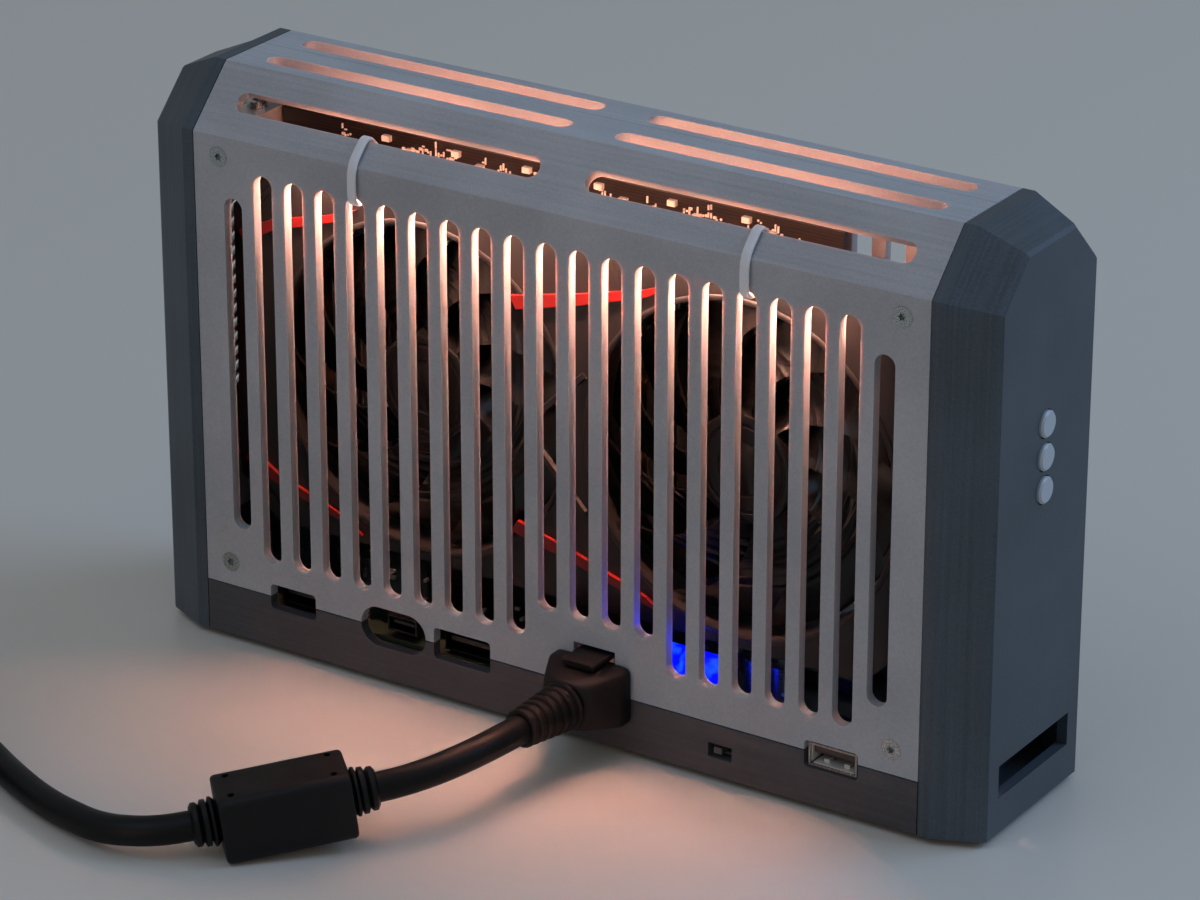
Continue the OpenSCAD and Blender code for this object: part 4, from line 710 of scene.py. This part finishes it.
guide_blocks = [((29, -18.6, 12.6), (33.9, -15.4, 29)), ((37.2, -18.6, 14.2), (45.8, -15.4, 29)),
                ((37.3, -18.4, 12.6), (39.8, -15.6, 14.6)), ((43.2, -18.4, 12.6), (45.7, -15.6, 14.6)),
                ((33.6, -18.0, 15.0), (37.5, -16.0, 18.0))]
usb_blocks = [((81.0, -28.4, 13.2), (93.0, -18, 13.45)), ((80.4, -28.4, 13.6), (80.65, -18, 18.2)),
              ((83.2, -26.8, 13.4), (84.8, -24.6, 14.3)), ((89.2, -26.8, 13.4), (90.8, -24.6, 14.3))]
small_blocks("usb_liner_and_springs", usb_blocks, 0.05, "chassis", bright_tin)
small_blocks("lamp_light_guide", guide_blocks, 0.3, "chassis", blue_guide)
print("small parts:", len(edge_parts), "on the card,", len(board_parts), "on the adapter")


# %% [markdown]
# Each cable tie is a flat nylon strap that wraps the light bar and the cover's upper edge and locks in
# its own head inside. Its loop has straight runs and soft corners, so the corners of a plain outline
# are cut three times, and a thin rounded section is carried round.

# %% Cable ties
def cable_tie(name, x, o=1.15):
    """A closed strap at x, o millimetres off what it wraps, with its head on the inner run."""
    path = [(-30 - o, 138.7 - o), (-30 - o, 148.1 + 0.414 * o), (-24.42, 153.68 + 1.414 * o),
            (-21.59 + 1.414 * o, 150.85), (-24.3 + o, 148.14 - 0.414 * o), (-24.3 + o, 138.7 - o)]
    for _ in range(3):
        path = [((1 - t) * a[0] + t * b[0], (1 - t) * a[1] + t * b[1])
                for a, b in zip(path, path[1:] + path[:1]) for t in (0.18, 0.82)]
    rings = []
    for i, (y, z) in enumerate(path):
        before, after = path[i - 1], path[(i + 1) % len(path)]
        way = Vector((0, after[0] - before[0], after[1] - before[1])).normalized()
        rings.append(ring(mm(x, y, z), side_x, way.cross(side_x), section(2.6, 1.0, 5, 16)))
    tie = skins(name + "_strap", [rings], "chassis", tie_nylon, closed=True)
    head = [ring(mm(x, y, 143), side_x, up_z, section(w, 6.2, 6, 16))
            for y, w in ((-22.7, 5.0), (-22.4, 5.6), (-20.7, 5.6), (-20.4, 5.0))]
    skins(name + "_head", [head], "chassis", tie_nylon)
    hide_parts(name)
    return tie


ties = [cable_tie("left_cable_tie", -60), cable_tie("right_cable_tie", 60)]
print("ties:", [tie.name for tie in ties])

# %% [markdown]
# The floor is plain, pale and slightly glossy. The room gives soft daylight from every side, a large
# cool window stands to the right and behind, and two weak lamps fill the front, the lower one warm.
# Inside, long thin lamps under and behind the light bar carry its warm light, and a small one is blue.

# %% Floor and light
lacquer, floor_tree, floor_shader, floor_place = new_finish("pale_lacquered_board", "#d8d4ca", 0.3)
raise_by(floor_tree, floor_shader, grain(floor_tree, floor_place, 1.5, 2.0), 0.01)
floor_mesh = bpy.data.meshes.new("floor")
floor_mesh.from_pydata([(-6, -6, 0), (6, -6, 0), (6, 6, 0), (-6, 6, 0)], [], [(0, 1, 2, 3)])
floor_mesh.materials.append(lacquer)
floor = bpy.data.objects.new("floor", floor_mesh)
bpy.context.scene.collection.objects.link(floor)
floor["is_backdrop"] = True

world = bpy.data.worlds.new("daylight")
bpy.context.scene.world = world
world.use_nodes = True
sky = world.node_tree.nodes["Background"].inputs
sky["Color"].default_value = linear("#d8dcde")
sky["Strength"].default_value = 0.34


def lamp(name, place, aim, size, watts, hex_colour, spread=180):
    """A rectangular lamp in millimetres, watts and degrees that faces the point it is aimed at."""
    data = bpy.data.lights.new(name, "AREA")
    data.shape, data.size, data.size_y = "RECTANGLE", mm(size[0]), mm(size[1])
    data.energy, data.color, data.spread = watts, linear(hex_colour)[:3], math.radians(spread)
    light = bpy.data.objects.new(name, data)
    bpy.context.scene.collection.objects.link(light)
    light.location = mm(*place)
    light.rotation_euler = (mm(*aim) - mm(*place)).to_track_quat("-Z", "X").to_euler()
    return light


lamp("window", (1300, 900, 1300), (0, 0, 100), (1200, 1200), 16, "#a4c8f8")
lamp("room_fill", (-300, -1300, 2100), (0, 0, 80), (1500, 1500), 7, "#bcd8ff")
lamp("table_lamp", (-150, -1400, 350), (0, 0, 90), (500, 500), 1.0, "#ffc0a0")
for i, x in enumerate((-60, 0, 60)):
    lamp("warm_down_%d" % i, (x, -26.1, 139.6), (x, -27.4, 30), (1.5, 59), 0.05, "#ffb49a", 75)
    lamp("warm_wash_%d" % i, (x, -26.1, 139.8), (x, -26.0, 60), (1.5, 59), 0.06, "#ffb89c")
    lamp("warm_back_%d" % i, (x, -23.2, 144.5), (x, 20, 139), (3, 46), 0.03, "#ffa484")
lamp("blue_board", (38, -17, 29.4), (40, -19, 60), (4, 14), 0.006, "#1020ff")

# %% Check and finish
visual_box = [list(corner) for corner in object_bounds()]
grown = [round((v - c) * 1000, 2) for a, b in zip(visual_box, cad_box) for v, c in zip(a, b)]
print("visual box against the CAD box:", grown, "mm")
